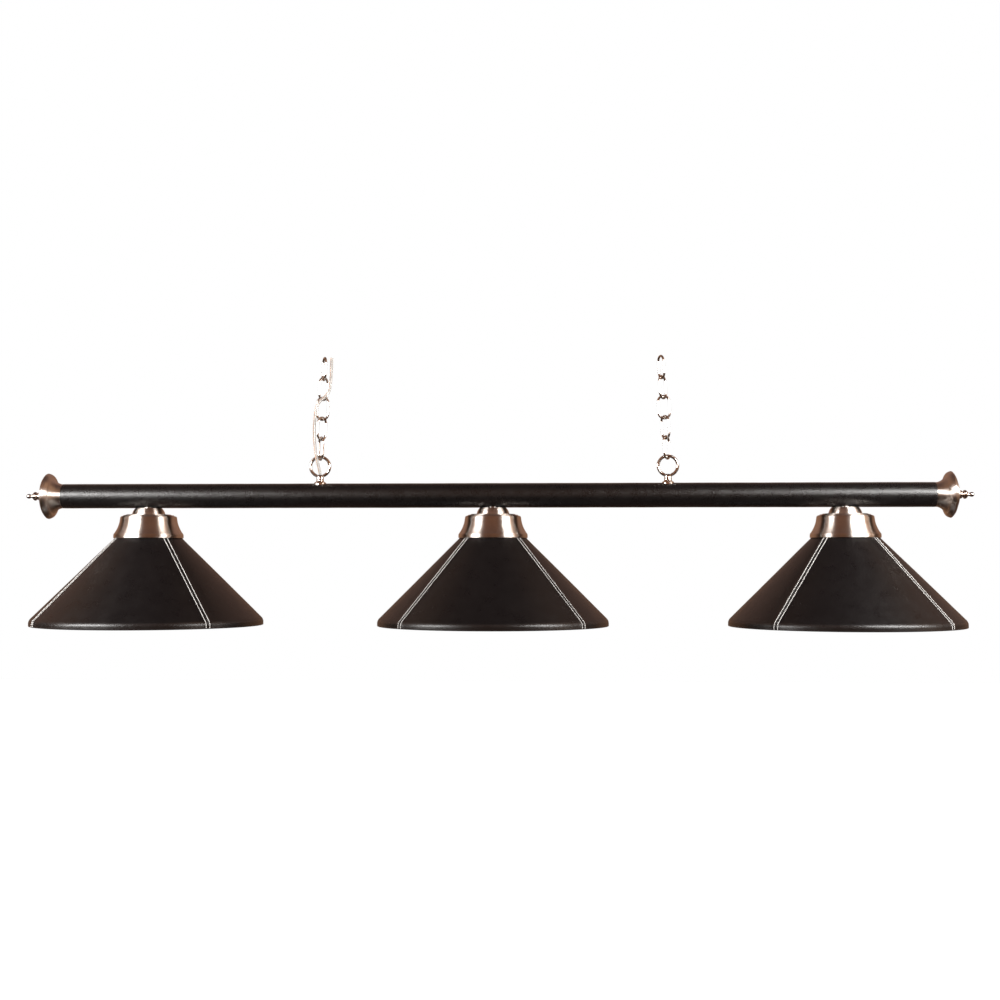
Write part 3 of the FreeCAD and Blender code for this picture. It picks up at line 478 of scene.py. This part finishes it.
# columns of vertices near a seam, by distance across it, and evenly spread columns in between
SEAM_COLUMNS = mirrored(np.array([0, 0.3, 0.65, 1.1, 1.7, 2.3, 2.72, 3.0, 3.2, 3.4, 3.68, 4.15,
                                  4.9, 5.8, 6.7, 7.6]))
COLUMNS_BETWEEN = 26


def split_arcs(outline):
    """The outline's points, with more points along each arc."""
    corners = np.array([p[:2] for p in outline], float)
    points = []
    for i, entry in enumerate(outline):
        a, b = corners[i], corners[(i + 1) % len(corners)]
        points.append(a)
        if len(entry) < 3:
            continue
        bulge = entry[2]
        run = b - a
        chord = np.hypot(*run)
        outward = np.array([-run[1], run[0]]) / chord
        radius = (chord ** 2 / 4 + bulge * bulge) / (2 * abs(bulge))
        half = math.asin(chord / 2 / radius)
        count = int(math.ceil(math.degrees(2 * half) / ARC_STEP))
        centre = (a + b) / 2 + outward * (bulge - math.copysign(radius, bulge))
        start = math.atan2(*(a - centre)[::-1])
        end = math.atan2(*(b - centre)[::-1])
        sweep = (end - start + math.pi) % (2 * math.pi) - math.pi
        for j in range(1, count):
            angle = start + sweep * j / count
            points.append(centre + radius * np.array([math.cos(angle), math.sin(angle)]))
    return np.array(points)


def shade_profile():
    """Rows of the section, from the top edge down the outside and back up the inside.

    Each row has a point (radius, z), its distance along the outline, its share of the seam
    relief (1 outside, 0 inside), and its tangent and normal.
    """
    top, end = np.array(CONE_TOP), np.array(CONE_END)
    count = int(round(np.hypot(*(end - top)) / (STITCH_PITCH / 2)))
    rows = [(top + (end - top) * i / count, 1.0) for i in range(count)]
    rest = split_arcs(SHADE_OUTLINE)
    first, rim_end = (int(np.argmin(np.hypot(*(rest - np.array(p)).T)))
                      for p in (CONE_END, RIM_END))
    for i in range(first, len(rest)):
        a, b = rest[i], rest[(i + 1) % len(rest)]
        rows.append((a, 1.0 if i <= rim_end else 0.0))
        gap = np.hypot(*(b - a))
        longest, step, relief = (1.7, 1.2, 1.0) if i < rim_end else (20, 12, 0.0)
        if gap > longest:
            count = int(gap / step)
            rows += [(a + (b - a) * j / count, relief) for j in range(1, count)]
    point = np.array([row[0] for row in rows])
    relief = np.array([row[1] for row in rows])
    steps = np.hypot(*(point - np.roll(point, 1, axis=0)).T)
    steps[0] = 0
    distance = np.cumsum(steps)
    # the relief fades out just past the bottom of the rim
    past = np.where(relief < 0.5)[0][0]
    fading = slice(past, past + 5)
    relief[fading] = np.maximum(0.0, 1.0 - (distance[fading] - distance[past - 1]) / 2.2)
    tangent = np.roll(point, -1, axis=0) - np.roll(point, 1, axis=0)
    tangent /= np.hypot(*tangent.T)[:, None]
    normal = np.stack([-tangent[:, 1], tangent[:, 0]], 1)
    return SimpleNamespace(point=point, distance=distance, relief=relief, tangent=tangent,
                           normal=normal)


SKIN = shade_profile()


def seam_height(across, along):
    """Relief of a sewn and pressed-open seam, in millimetres."""
    away = np.abs(across)
    slope = np.clip((7.4 - away) / 2.2, 0, 1)
    raised = 0.5 * slope ** 2 * (3 - 2 * slope)
    valley = -0.95 * np.exp(-((away / 0.5) ** 2))
    pull = 0.5 + 0.5 * np.cos(2 * np.pi * along / STITCH_PITCH)
    groove = -(0.2 + 0.18 * pull) * np.exp(-(((away - ROW_OFFSET) / 0.5) ** 2))
    puff = 0.12 * (1 - pull) * np.exp(-(((away - 1.8) / 0.7) ** 2))
    return raised + valley + groove + puff


def pale_band(z, least_relief, width):
    """A band round the row nearest a height, among the rows with enough relief: the painted
    highlight at the crease and the wear at the rim.
    """
    off = np.abs(SKIN.point[:, 1] - z) + (SKIN.relief < least_relief) * 99
    return np.exp(-(((SKIN.distance[:, None] - SKIN.distance[np.argmin(off)]) / width) ** 2))


def shade_cover(side, centre_x):
    """Four leather panels round one shade, joined at four seams."""
    seams = np.radians(np.array(SEAM_ANGLES[side]))
    radius = SKIN.point[:, 0][:, None]
    along = SKIN.distance[:, None]
    relief = SKIN.relief[:, None]
    across = SEAM_COLUMNS[None, :]
    share = (np.arange(1, COLUMNS_BETWEEN + 1) / (COLUMNS_BETWEEN + 1))[None, :]
    seam = seam_height(across, along) * relief * np.clip((radius - 46) / 14, 0.35, 1)
    crown = np.sin(np.pi * share) * 0.1 * np.sin(np.pi * np.clip((radius - 50) / 135, 0, 1))
    theta, height = [], []
    for k in range(4):
        here, following = seams[k], seams[(k + 1) % 4] + (2 * np.pi if k == 3 else 0)
        low, high = here + SEAM_COLUMNS[-1] / radius, following + SEAM_COLUMNS[0] / radius
        theta += [here + across / radius, low + (high - low) * share]
        height += [seam, crown * relief]
    theta, height = np.concatenate(theta, 1), np.concatenate(height, 1)
    # slow unevenness that differs from shade to shade
    wave = (0.07 * np.sin(3 * theta + 0.02 * along + centre_x)
            + 0.06 * np.sin(7 * theta - 0.035 * along + 2 * centre_x)
            + 0.04 * np.sin(13 * theta + 0.06 * along) * np.sin(0.05 * along + centre_x))
    height = height + wave * relief * np.clip((along - 12) / 20, 0, 1)
    r = radius + SKIN.normal[:, 0][:, None] * height
    z = SKIN.point[:, 1][:, None] + SKIN.normal[:, 1][:, None] * height
    verts = np.stack([centre_x + r * np.sin(theta), -r * np.cos(theta), z], -1)
    # painted highlight: a thin paler, smoother line along the fold between cone and skirt; the
    # bottom edge of the rim and the raised seam ridges are paler where worn
    crease = pale_band(z=-200.5, least_relief=0.5, width=1.5)
    rim = pale_band(z=-208.6, least_relief=0.2, width=1.6)
    ridge = np.clip(height / 0.5, 0, 1) * 0.35
    wear_and_highlight = np.clip(crease * 0.6 + rim * 0.5 + ridge * 0.6, 0, 1)
    faces = grid_faces(*theta.shape, wrap_rows=True)
    obj = make_mesh(f"shade_cover_{side}", verts.reshape(-1, 3), faces,
                    FINISHES["shade_leather"], 50, {"wear_and_highlight": wear_and_highlight.ravel()})
    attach(obj, "fixture")
    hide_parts(f"shade_leather_{side}")


# stations of one stitch: distance along it, lift above the leather, thread radius
STITCH = np.array([
    (-1.36, -0.5, 0.22), (-1.28, -0.18, 0.36), (-1.06, 0.1, 0.45), (-0.6, 0.27, 0.5),
    (0.0, 0.31, 0.52),
    (0.6, 0.27, 0.5), (1.06, 0.1, 0.45), (1.28, -0.18, 0.36), (1.36, -0.5, 0.22),
])
STITCH_BASE = 0.33  # height of the leather under the stitches
STITCH_SLANT = 0.10
STITCH_TIP = 0.04  # how far each tip runs on, as a share of the last gap between stations
THREAD_SIDES = 8


def along_skin(values, distance):
    """The two columns of a profile table at given distances along it."""
    return (np.interp(distance, SKIN.distance, values[:, i]) for i in range(2))


def stitch_rows(side, centre_x):
    """Every stitch as its own short length of thread that dives into the leather at both ends."""
    step, lift, thread_radius = STITCH.T
    count = len(step)
    around = np.pi + np.arange(THREAD_SIDES) * 2 * np.pi / THREAD_SIDES
    outer_end = SKIN.distance[np.where(SKIN.relief >= 0.99)[0][-1]]
    centres = np.arange(STITCH_PITCH * 2.5, outer_end - 0.6, STITCH_PITCH)
    ply = np.zeros((count, THREAD_SIDES, 3))
    ply[..., 0], ply[..., 1] = step[:, None], (around - np.pi)[None, :]
    ply = np.concatenate([ply.reshape(-1, 3), [[step[0], 0, 0]], [[step[-1], 0, 0]]])
    verts = []
    for seam in np.radians(np.array(SEAM_ANGLES[side])):
        for sign in (-1, 1):
            for centre in centres:
                slip, stray = random.normal(0, 0.05), random.normal(0, 0.03)
                distance = np.clip(centre + slip + step, 0, outer_end + 0.3)
                r, z = along_skin(SKIN.point, distance)
                normal_r, normal_z = along_skin(SKIN.normal, distance)
                height = STITCH_BASE + lift
                theta = seam + (sign * ROW_OFFSET + STITCH_SLANT * sign * step + stray) / r
                sine, cosine = np.sin(theta), np.cos(theta)
                out_r, out_z = r + normal_r * height, z + normal_z * height
                path = np.stack([centre_x + out_r * sine, -out_r * cosine, out_z], 1)
                normal = np.stack([normal_r * sine, -normal_r * cosine, normal_z], 1)
                across = np.stack([cosine, sine, np.zeros_like(theta)], 1)
                spoke = (np.cos(around)[None, :, None] * normal[:, None, :]
                         + np.sin(around)[None, :, None] * across[:, None, :])
                rings = path[:, None, :] + thread_radius[:, None, None] * spoke
                tips = [path[0] - STITCH_TIP * (path[1] - path[0]),
                        path[-1] + STITCH_TIP * (path[-1] - path[-2])]
                verts.append(np.concatenate([rings.reshape(-1, 3), tips]))
    tip = count * THREAD_SIDES
    last = tip - THREAD_SIDES
    one = [tuple(face) for face in grid_faces(count, THREAD_SIDES)]
    one += [(tip, (j + 1) % THREAD_SIDES, j) for j in range(THREAD_SIDES)]
    one += [(tip + 1, last + j, last + (j + 1) % THREAD_SIDES) for j in range(THREAD_SIDES)]
    faces = [tuple(i + k * (tip + 2) for i in face) for k in range(len(verts)) for face in one]
    obj = make_mesh(f"shade_stitching_{side}", np.concatenate(verts), faces,
                    FINISHES["thread"], 80, {"ply": np.tile(ply, (len(verts), 1))})
    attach(obj, "fixture")


for side, centre_x in SHADE_X.items():
    shade_cover(side, centre_x)
    stitch_rows(side, centre_x)


# ---------------------------------------------------------------- leather on the bar
WRAP_HALF = 701.0  # half the length
WRAP_RADIUS = 19.8
WRAP_INNER_RADIUS = 19.03
WRAP_SINK = 0.03
WRAP_SEAM = math.radians(140)  # from the front, over the top
END_DROP, END_ROUND = 0.7, 2.0  # depth and length of the rounding at each end
END_INSETS = np.array([0, 0.25, 0.8, 1.7, 3])
# unevenness: height, millimetres of length per radian, waves round the bar, phase
WRAP_WAVES = [(0.035, 21.0, 2, 0), (0.03, 9.3, -3, 1.3), (0.03, 47.0, 1, 0), (0.02, 5.1, 5, 0)]


def bar_cover():
    """A sleeve round the tube with its butt seam high at the back and its ends rounded over."""
    stations = np.concatenate([END_INSETS - WRAP_HALF,
                               np.linspace(7 - WRAP_HALF, WRAP_HALF - 7, 401),
                               WRAP_HALF - END_INSETS[::-1]])
    from_end = np.minimum(WRAP_HALF - np.abs(stations), END_ROUND)
    drop = END_DROP * (1 - np.sqrt(1 - (1 - from_end / END_ROUND) ** 2))
    near = WRAP_SEAM + mirrored(np.array([0, 0.25, 0.55, 0.95, 1.5, 2.4, 3.6]) / WRAP_RADIUS)
    far = np.linspace(near[-1], near[0] + 2 * np.pi, 76)[1:-1]
    angles = np.concatenate([near, far])
    away = np.abs((angles - WRAP_SEAM + np.pi) % (2 * np.pi) - np.pi) * WRAP_RADIUS
    x, angle = np.meshgrid(stations, angles, indexing="ij")
    wander = 0.35 * np.sin(x / 83.0) + 0.2 * np.sin(x / 31.0 + 1.0)
    angle = angle + wander / WRAP_RADIUS
    relief = -0.5 * np.exp(-((away / 0.35) ** 2)) + 0.12 * np.exp(-(((away - 1.0) / 0.8) ** 2))
    soft = sum(height * np.sin(x / length + turns * angle + phase)
               for height, length, turns, phase in WRAP_WAVES)
    inset = WRAP_HALF - np.abs(x)
    radius = (WRAP_RADIUS - drop[:, None] + relief[None, :] + soft * np.clip(inset / 15, 0, 1)
              - WRAP_SINK)
    outer, inner = (np.stack([x, -r * np.cos(angle), r * np.sin(angle)], -1)
                    for r in (radius, WRAP_INNER_RADIUS))
    # the hidden inside runs back with far fewer rows
    inner = inner[::-1]
    inner = np.concatenate([inner[:1], inner[12:-12:25], inner[-1:]])
    verts = np.concatenate([outer, inner])
    end_wear = np.clip((8 - inset) / 8, 0, 1) * 0.5
    seam_wear = np.exp(-(((away - 0.9) / 0.5) ** 2))[None, :] * 0.4
    wear_and_highlight = np.concatenate([end_wear + seam_wear, np.zeros(inner.shape[:2])])
    faces = grid_faces(*wear_and_highlight.shape, wrap_rows=True)
    obj = make_mesh("bar_cover", verts.reshape(-1, 3), faces, FINISHES["bar_leather"], 50,
                    {"wear_and_highlight": wear_and_highlight.ravel()})
    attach(obj, "fixture")
    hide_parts("bar_leather_wrap")


bar_cover()


# ---------------------------------------------------------------- clear twin cord
# the left chain rises from its base and leans towards +X
CHAIN_LEAN = math.radians(2.2)
CHAIN_UP = np.array([math.sin(CHAIN_LEAN), 0, math.cos(CHAIN_LEAN)])
CHAIN_ACROSS = np.array([math.cos(CHAIN_LEAN), 0, -math.sin(CHAIN_LEAN)])
CORD_X = -280.0
CHAIN_BASE = np.array([CORD_X, 0, 47.0]) + CHAIN_UP * 11.39
CORD_RISE = (6, 20, 33)  # heights of the cord's first points, straight up from the bar
# later points, measured from the chain's base: up the chain, across it, to the front of it
CORD_BESIDE_CHAIN = [
    (-15, -1.4, 1.8), (-6, -3.6, 4.0), (2.5, -5.6, 5.2), (14, -8, 5), (30, -10.6, 2.8),
    (50, -12, 1.8), (68, -11.4, 3.6), (84, -9.2, 5.6), (93.5, -4, 7.2), (101.5, 4, 7),
    (111, 9.4, 3.4), (130, 11.4, 0.8), (150, 11.6, 0.8), (166, 11.6, 0.8),
]
LINK_COUNT = 5
LINK_PITCH = 32.34
FIRST_LINK_CENTRE = 17.95
LOBE_RADIUS = 1.3
WEB_HALF = 0.72
CORE_RADIUS = 0.62


def smooth_path(points, step=0.8, samples=24):
    """Centripetal spline through the points, resampled evenly."""
    p = np.array(points, float)
    p = np.concatenate([[2 * p[0] - p[1]], p, [2 * p[-1] - p[-2]]])
    curve = []
    for i in range(1, len(p) - 2):
        p0, p1, p2, p3 = p[i - 1:i + 3]
        t0 = 0.0
        t1 = t0 + np.linalg.norm(p1 - p0) ** 0.5
        t2 = t1 + np.linalg.norm(p2 - p1) ** 0.5
        t3 = t2 + np.linalg.norm(p3 - p2) ** 0.5
        for t in np.linspace(t1, t2, samples, endpoint=False):
            a1 = (t1 - t) / (t1 - t0) * p0 + (t - t0) / (t1 - t0) * p1
            a2 = (t2 - t) / (t2 - t1) * p1 + (t - t1) / (t2 - t1) * p2
            a3 = (t3 - t) / (t3 - t2) * p2 + (t - t2) / (t3 - t2) * p3
            b1 = (t2 - t) / (t2 - t0) * a1 + (t - t0) / (t2 - t0) * a2
            b2 = (t3 - t) / (t3 - t1) * a2 + (t - t1) / (t3 - t1) * a3
            curve.append((t2 - t) / (t2 - t1) * b1 + (t - t1) / (t2 - t1) * b2)
    curve.append(p[-2])
    curve = np.array(curve)
    lengths = np.linalg.norm(np.diff(curve, axis=0), axis=1)
    distance = np.concatenate([[0], np.cumsum(lengths)])
    even = np.linspace(0, distance[-1], int(distance[-1] / step) + 1)
    return np.stack([np.interp(even, distance, curve[:, i]) for i in range(3)], 1)


def cord_section(count=28):
    """Two round lobes with a web between them, found by searching outwards along rays."""
    points = []
    for angle in np.arange(count) * 2 * np.pi / count:
        ray = np.array([math.cos(angle), math.sin(angle)])
        reach = 0.0
        for distance in np.linspace(0, 2.7, 541):
            x, y = ray * distance
            to_lobe = min(np.hypot(x - LOBE_RADIUS, y), np.hypot(x + LOBE_RADIUS, y))
            if to_lobe <= LOBE_RADIUS or (abs(y) < WEB_HALF and abs(x) < LOBE_RADIUS):
                reach = distance
        points.append(ray * max(reach, WEB_HALF))
    return np.array(points)


def cord_outlines():
    """Sections of the jacket and of the two cores inside it."""
    angle = np.arange(10) * 2 * np.pi / 10
    core = np.stack([CORE_RADIUS * np.cos(angle), CORE_RADIUS * np.sin(angle)], 1)
    return [cord_section()] + [core + np.array([x, 0]) for x in (LOBE_RADIUS, -LOBE_RADIUS)]


def build_cord():
    """The cord in six lengths that meet beside the middles of the links and bend between them."""
    points = [np.array([CORD_X, 0, z]) for z in CORD_RISE]
    points += [CHAIN_BASE + CHAIN_UP * up + CHAIN_ACROSS * across - np.array([0, front, 0])
               for up, across, front in CORD_BESIDE_CHAIN]
    path = smooth_path(points)
    tangent = np.gradient(path, axis=0)
    tangent /= np.linalg.norm(tangent, axis=1)[:, None]
    wide = np.cross(tangent, [0, 1, 0])
    wide /= np.linalg.norm(wide, axis=1)[:, None]
    thick = np.cross(wide, tangent)
    height = (path - CHAIN_BASE) @ CHAIN_UP
    early = (np.arange(len(path)) < 10) * 99  # keeps the cuts off the first few stations
    centres = [FIRST_LINK_CENTRE + LINK_PITCH * k for k in range(LINK_COUNT)]
    cuts = [0, *(int(np.argmin(np.abs(height - c) + early)) for c in centres), len(path) - 1]
    outlines = cord_outlines()
    for k in range(LINK_COUNT + 1):
        rows = np.arange(cuts[k], cuts[k + 1] + 1)
        verts, faces, spans = [], [], []
        base = 0
        for outline in outlines:
            count = len(outline)
            rings = (path[rows][:, None, :]
                     + outline[None, :, 0, None] * wide[rows][:, None, :]
                     + outline[None, :, 1, None] * thick[rows][:, None, :])
            verts.append(rings.reshape(-1, 3))
            first_face = len(faces)
            last = base + (len(rows) - 1) * count
            faces += [tuple(face) for face in grid_faces(len(rows), count, base=base)]
            faces.append(tuple(base + j for j in range(count))[::-1])
            faces.append(tuple(last + j for j in range(count)))
            spans.append(slice(first_face, len(faces)))
            base = last + count
        obj = make_mesh(f"power_cord_{k + 1}", np.concatenate(verts), faces,
                        FINISHES["clear_cord"], 50,
                        extra=[(FINISHES["copper"], spans[1]), (FINISHES["tinned"], spans[2])])
        if k == LINK_COUNT:
            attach(obj, f"left_link_{k}")
            continue
        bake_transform(obj)
    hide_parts("power_cord")


build_cord()


# ---------------------------------------------------------------- studio
# colours of the room as seen in reflections
FRONT, SIDE, RIGHT = (0.22, 0.1, 0.056), (0.34, 0.18, 0.105), (0.8, 0.48, 0.3)
CEILING = (0.068, 0.044, 0.044)
FLOOR_NEAR, FLOOR_DEEP = (0.022, 0.014, 0.01), (0.07, 0.038, 0.03)
BACK = (0.3, 0.175, 0.135)
CORNER = (0.02, 0.008, 0.004)
# what lights matt surfaces, and what the camera sees
DAYLIGHT = (0.68, 0.67, 0.66)
WHITE = (1.0, 1.0, 1.0)


def build_world():
    """A room painted by direction: azimuth in radians from the front towards +X, and rise."""
    world = bpy.data.worlds.new("room")
    scene.world = world
    world.use_nodes = True
    room = Graph(world.node_tree, spare=MATH_DEFAULT)
    dx, dy, dz = room.parts(room.node("TexCoord").outputs["Generated"])

    def times(a, b):
        return room.calc("MULTIPLY", a, b)

    def rise(value, low, high):
        return room.remap(value, (low, high), smooth=True)

    def fall(value, low, high):
        return room.invert(rise(value, low, high))

    azimuth = room.calc("ARCTAN2", dx, times(dy, -1.0))
    spread = room.calc("ABSOLUTE", azimuth)
    tone = room.mix(rise(spread, 0.9, 1.7), FRONT, SIDE)
    right_wall = times(rise(azimuth, 0.95, 1.15), fall(azimuth, 1.55, 1.75))
    tone = room.mix(right_wall, tone, RIGHT)
    corner = times(rise(spread, 1.6, 1.76), fall(spread, 2.0, 2.2))
    tone = room.mix(times(corner, fall(dz, 0.3, 0.45)), tone, CORNER)
    band = times(rise(dz, 0.12, 0.35), fall(dz, 0.7, 0.9))
    tone = room.mix(times(rise(spread, 1.9, 2.4), band), tone, BACK)
    tone = room.mix(rise(dz, 0.72, 0.92), tone, CEILING)
    weaker_behind = room.invert(times(rise(spread, 1.2, 1.9), 0.35))
    below = times(rise(times(dz, -1.0), 0.1, 0.3), weaker_behind)
    tone = room.mix(below, tone, FLOOR_NEAR)
    tone = room.mix(rise(times(dz, -1.0), 0.62, 0.8), tone, FLOOR_DEEP)
    ray = room.node("LightPath").outputs
    tone = room.mix(ray["Is Diffuse Ray"], tone, DAYLIGHT)
    tone = room.mix(ray["Is Camera Ray"], tone, WHITE)
    background = room.node("Background", {0: tone, 1: 1.0})
    room.node("OutputWorld", {0: background.outputs[0]})


def studio_quad(name, corners, material_name):
    """A single face with corners in metres. Returns it with the empty graph of its material."""
    mesh = bpy.data.meshes.new(name)
    mesh.from_pydata(corners, [], [(0, 1, 2, 3)])
    obj = bpy.data.objects.new(name, mesh)
    scene.collection.objects.link(obj)
    material = bpy.data.materials.new(material_name)
    material.use_nodes = True
    mesh.materials.append(material)
    return obj, Graph(material.node_tree, spare=MATH_DEFAULT)


def panel(name, start, end, bottom, top, strength):
    """An upright soft light between two points in plan, in millimetres."""
    corners = [(*start, bottom), (*end, bottom), (*end, top), (*start, top)]
    obj, graph = studio_quad(name, [[c * MM for c in p] for p in corners], name)
    glow = graph.node("Emission", {0: (1.0, 0.985, 0.97), 1: strength})
    graph.node("OutputMaterial", {0: glow.outputs[0]})
    obj.visible_camera = False
    obj.visible_shadow = False


def build_floor(half=9.0, z=-1.05):
    """A pale floor that glows to the camera and is see-through from below. Sizes in metres."""
    corners = [(-half, -half, z), (half, -half, z), (half, half, z), (-half, half, z)]
    obj, graph = studio_quad("floor", corners, "pale_floor")
    seen = graph.calc("MULTIPLY", graph.node("LightPath").outputs["Is Camera Ray"], 1.0)
    matt = graph.node("BsdfDiffuse", {0: (0.8, 0.79, 0.78)})
    glow = graph.node("Emission", {0: WHITE, 1: seen})
    lit = graph.node("AddShader", {0: matt.outputs[0], 1: glow.outputs[0]})
    clear = graph.node("BsdfTransparent")
    underside = graph.node("NewGeometry").outputs["Backfacing"]
    both = graph.node("MixShader", {0: underside, 1: lit.outputs[0], 2: clear.outputs[0]})
    graph.node("OutputMaterial", {0: both.outputs[0]})
    obj.visible_glossy = False


def build_camera(yaw=-0.0489, pitch=0.0395):
    """In front of the lamp. Yaw turns from +Y towards +X, pitch upwards, both in radians."""
    data = bpy.data.cameras.new("camera")
    camera = bpy.data.objects.new("camera", data)
    scene.collection.objects.link(camera)
    camera.location = (0.1274, -2.3744, -0.1014)
    forward = Vector((math.sin(yaw) * math.cos(pitch), math.cos(yaw) * math.cos(pitch),
                      math.sin(pitch)))
    camera.rotation_euler = forward.to_track_quat("-Z", "Y").to_euler()
    data.sensor_width = 36.0
    data.lens = 53.32
    data.clip_start = 0.01
    data.clip_end = 50
    scene.camera = camera


scene.view_settings.view_transform = "Standard"
scene.view_settings.look = "None"
scene.view_settings.exposure = 0.0
build_world()
panel("light_left", start=(-2450, -760), end=(-870, -940), bottom=70, top=460, strength=23.0)
panel("light_right", start=(750, -830), end=(2050, -590), bottom=210, top=590, strength=22.0)
build_floor()
build_camera()
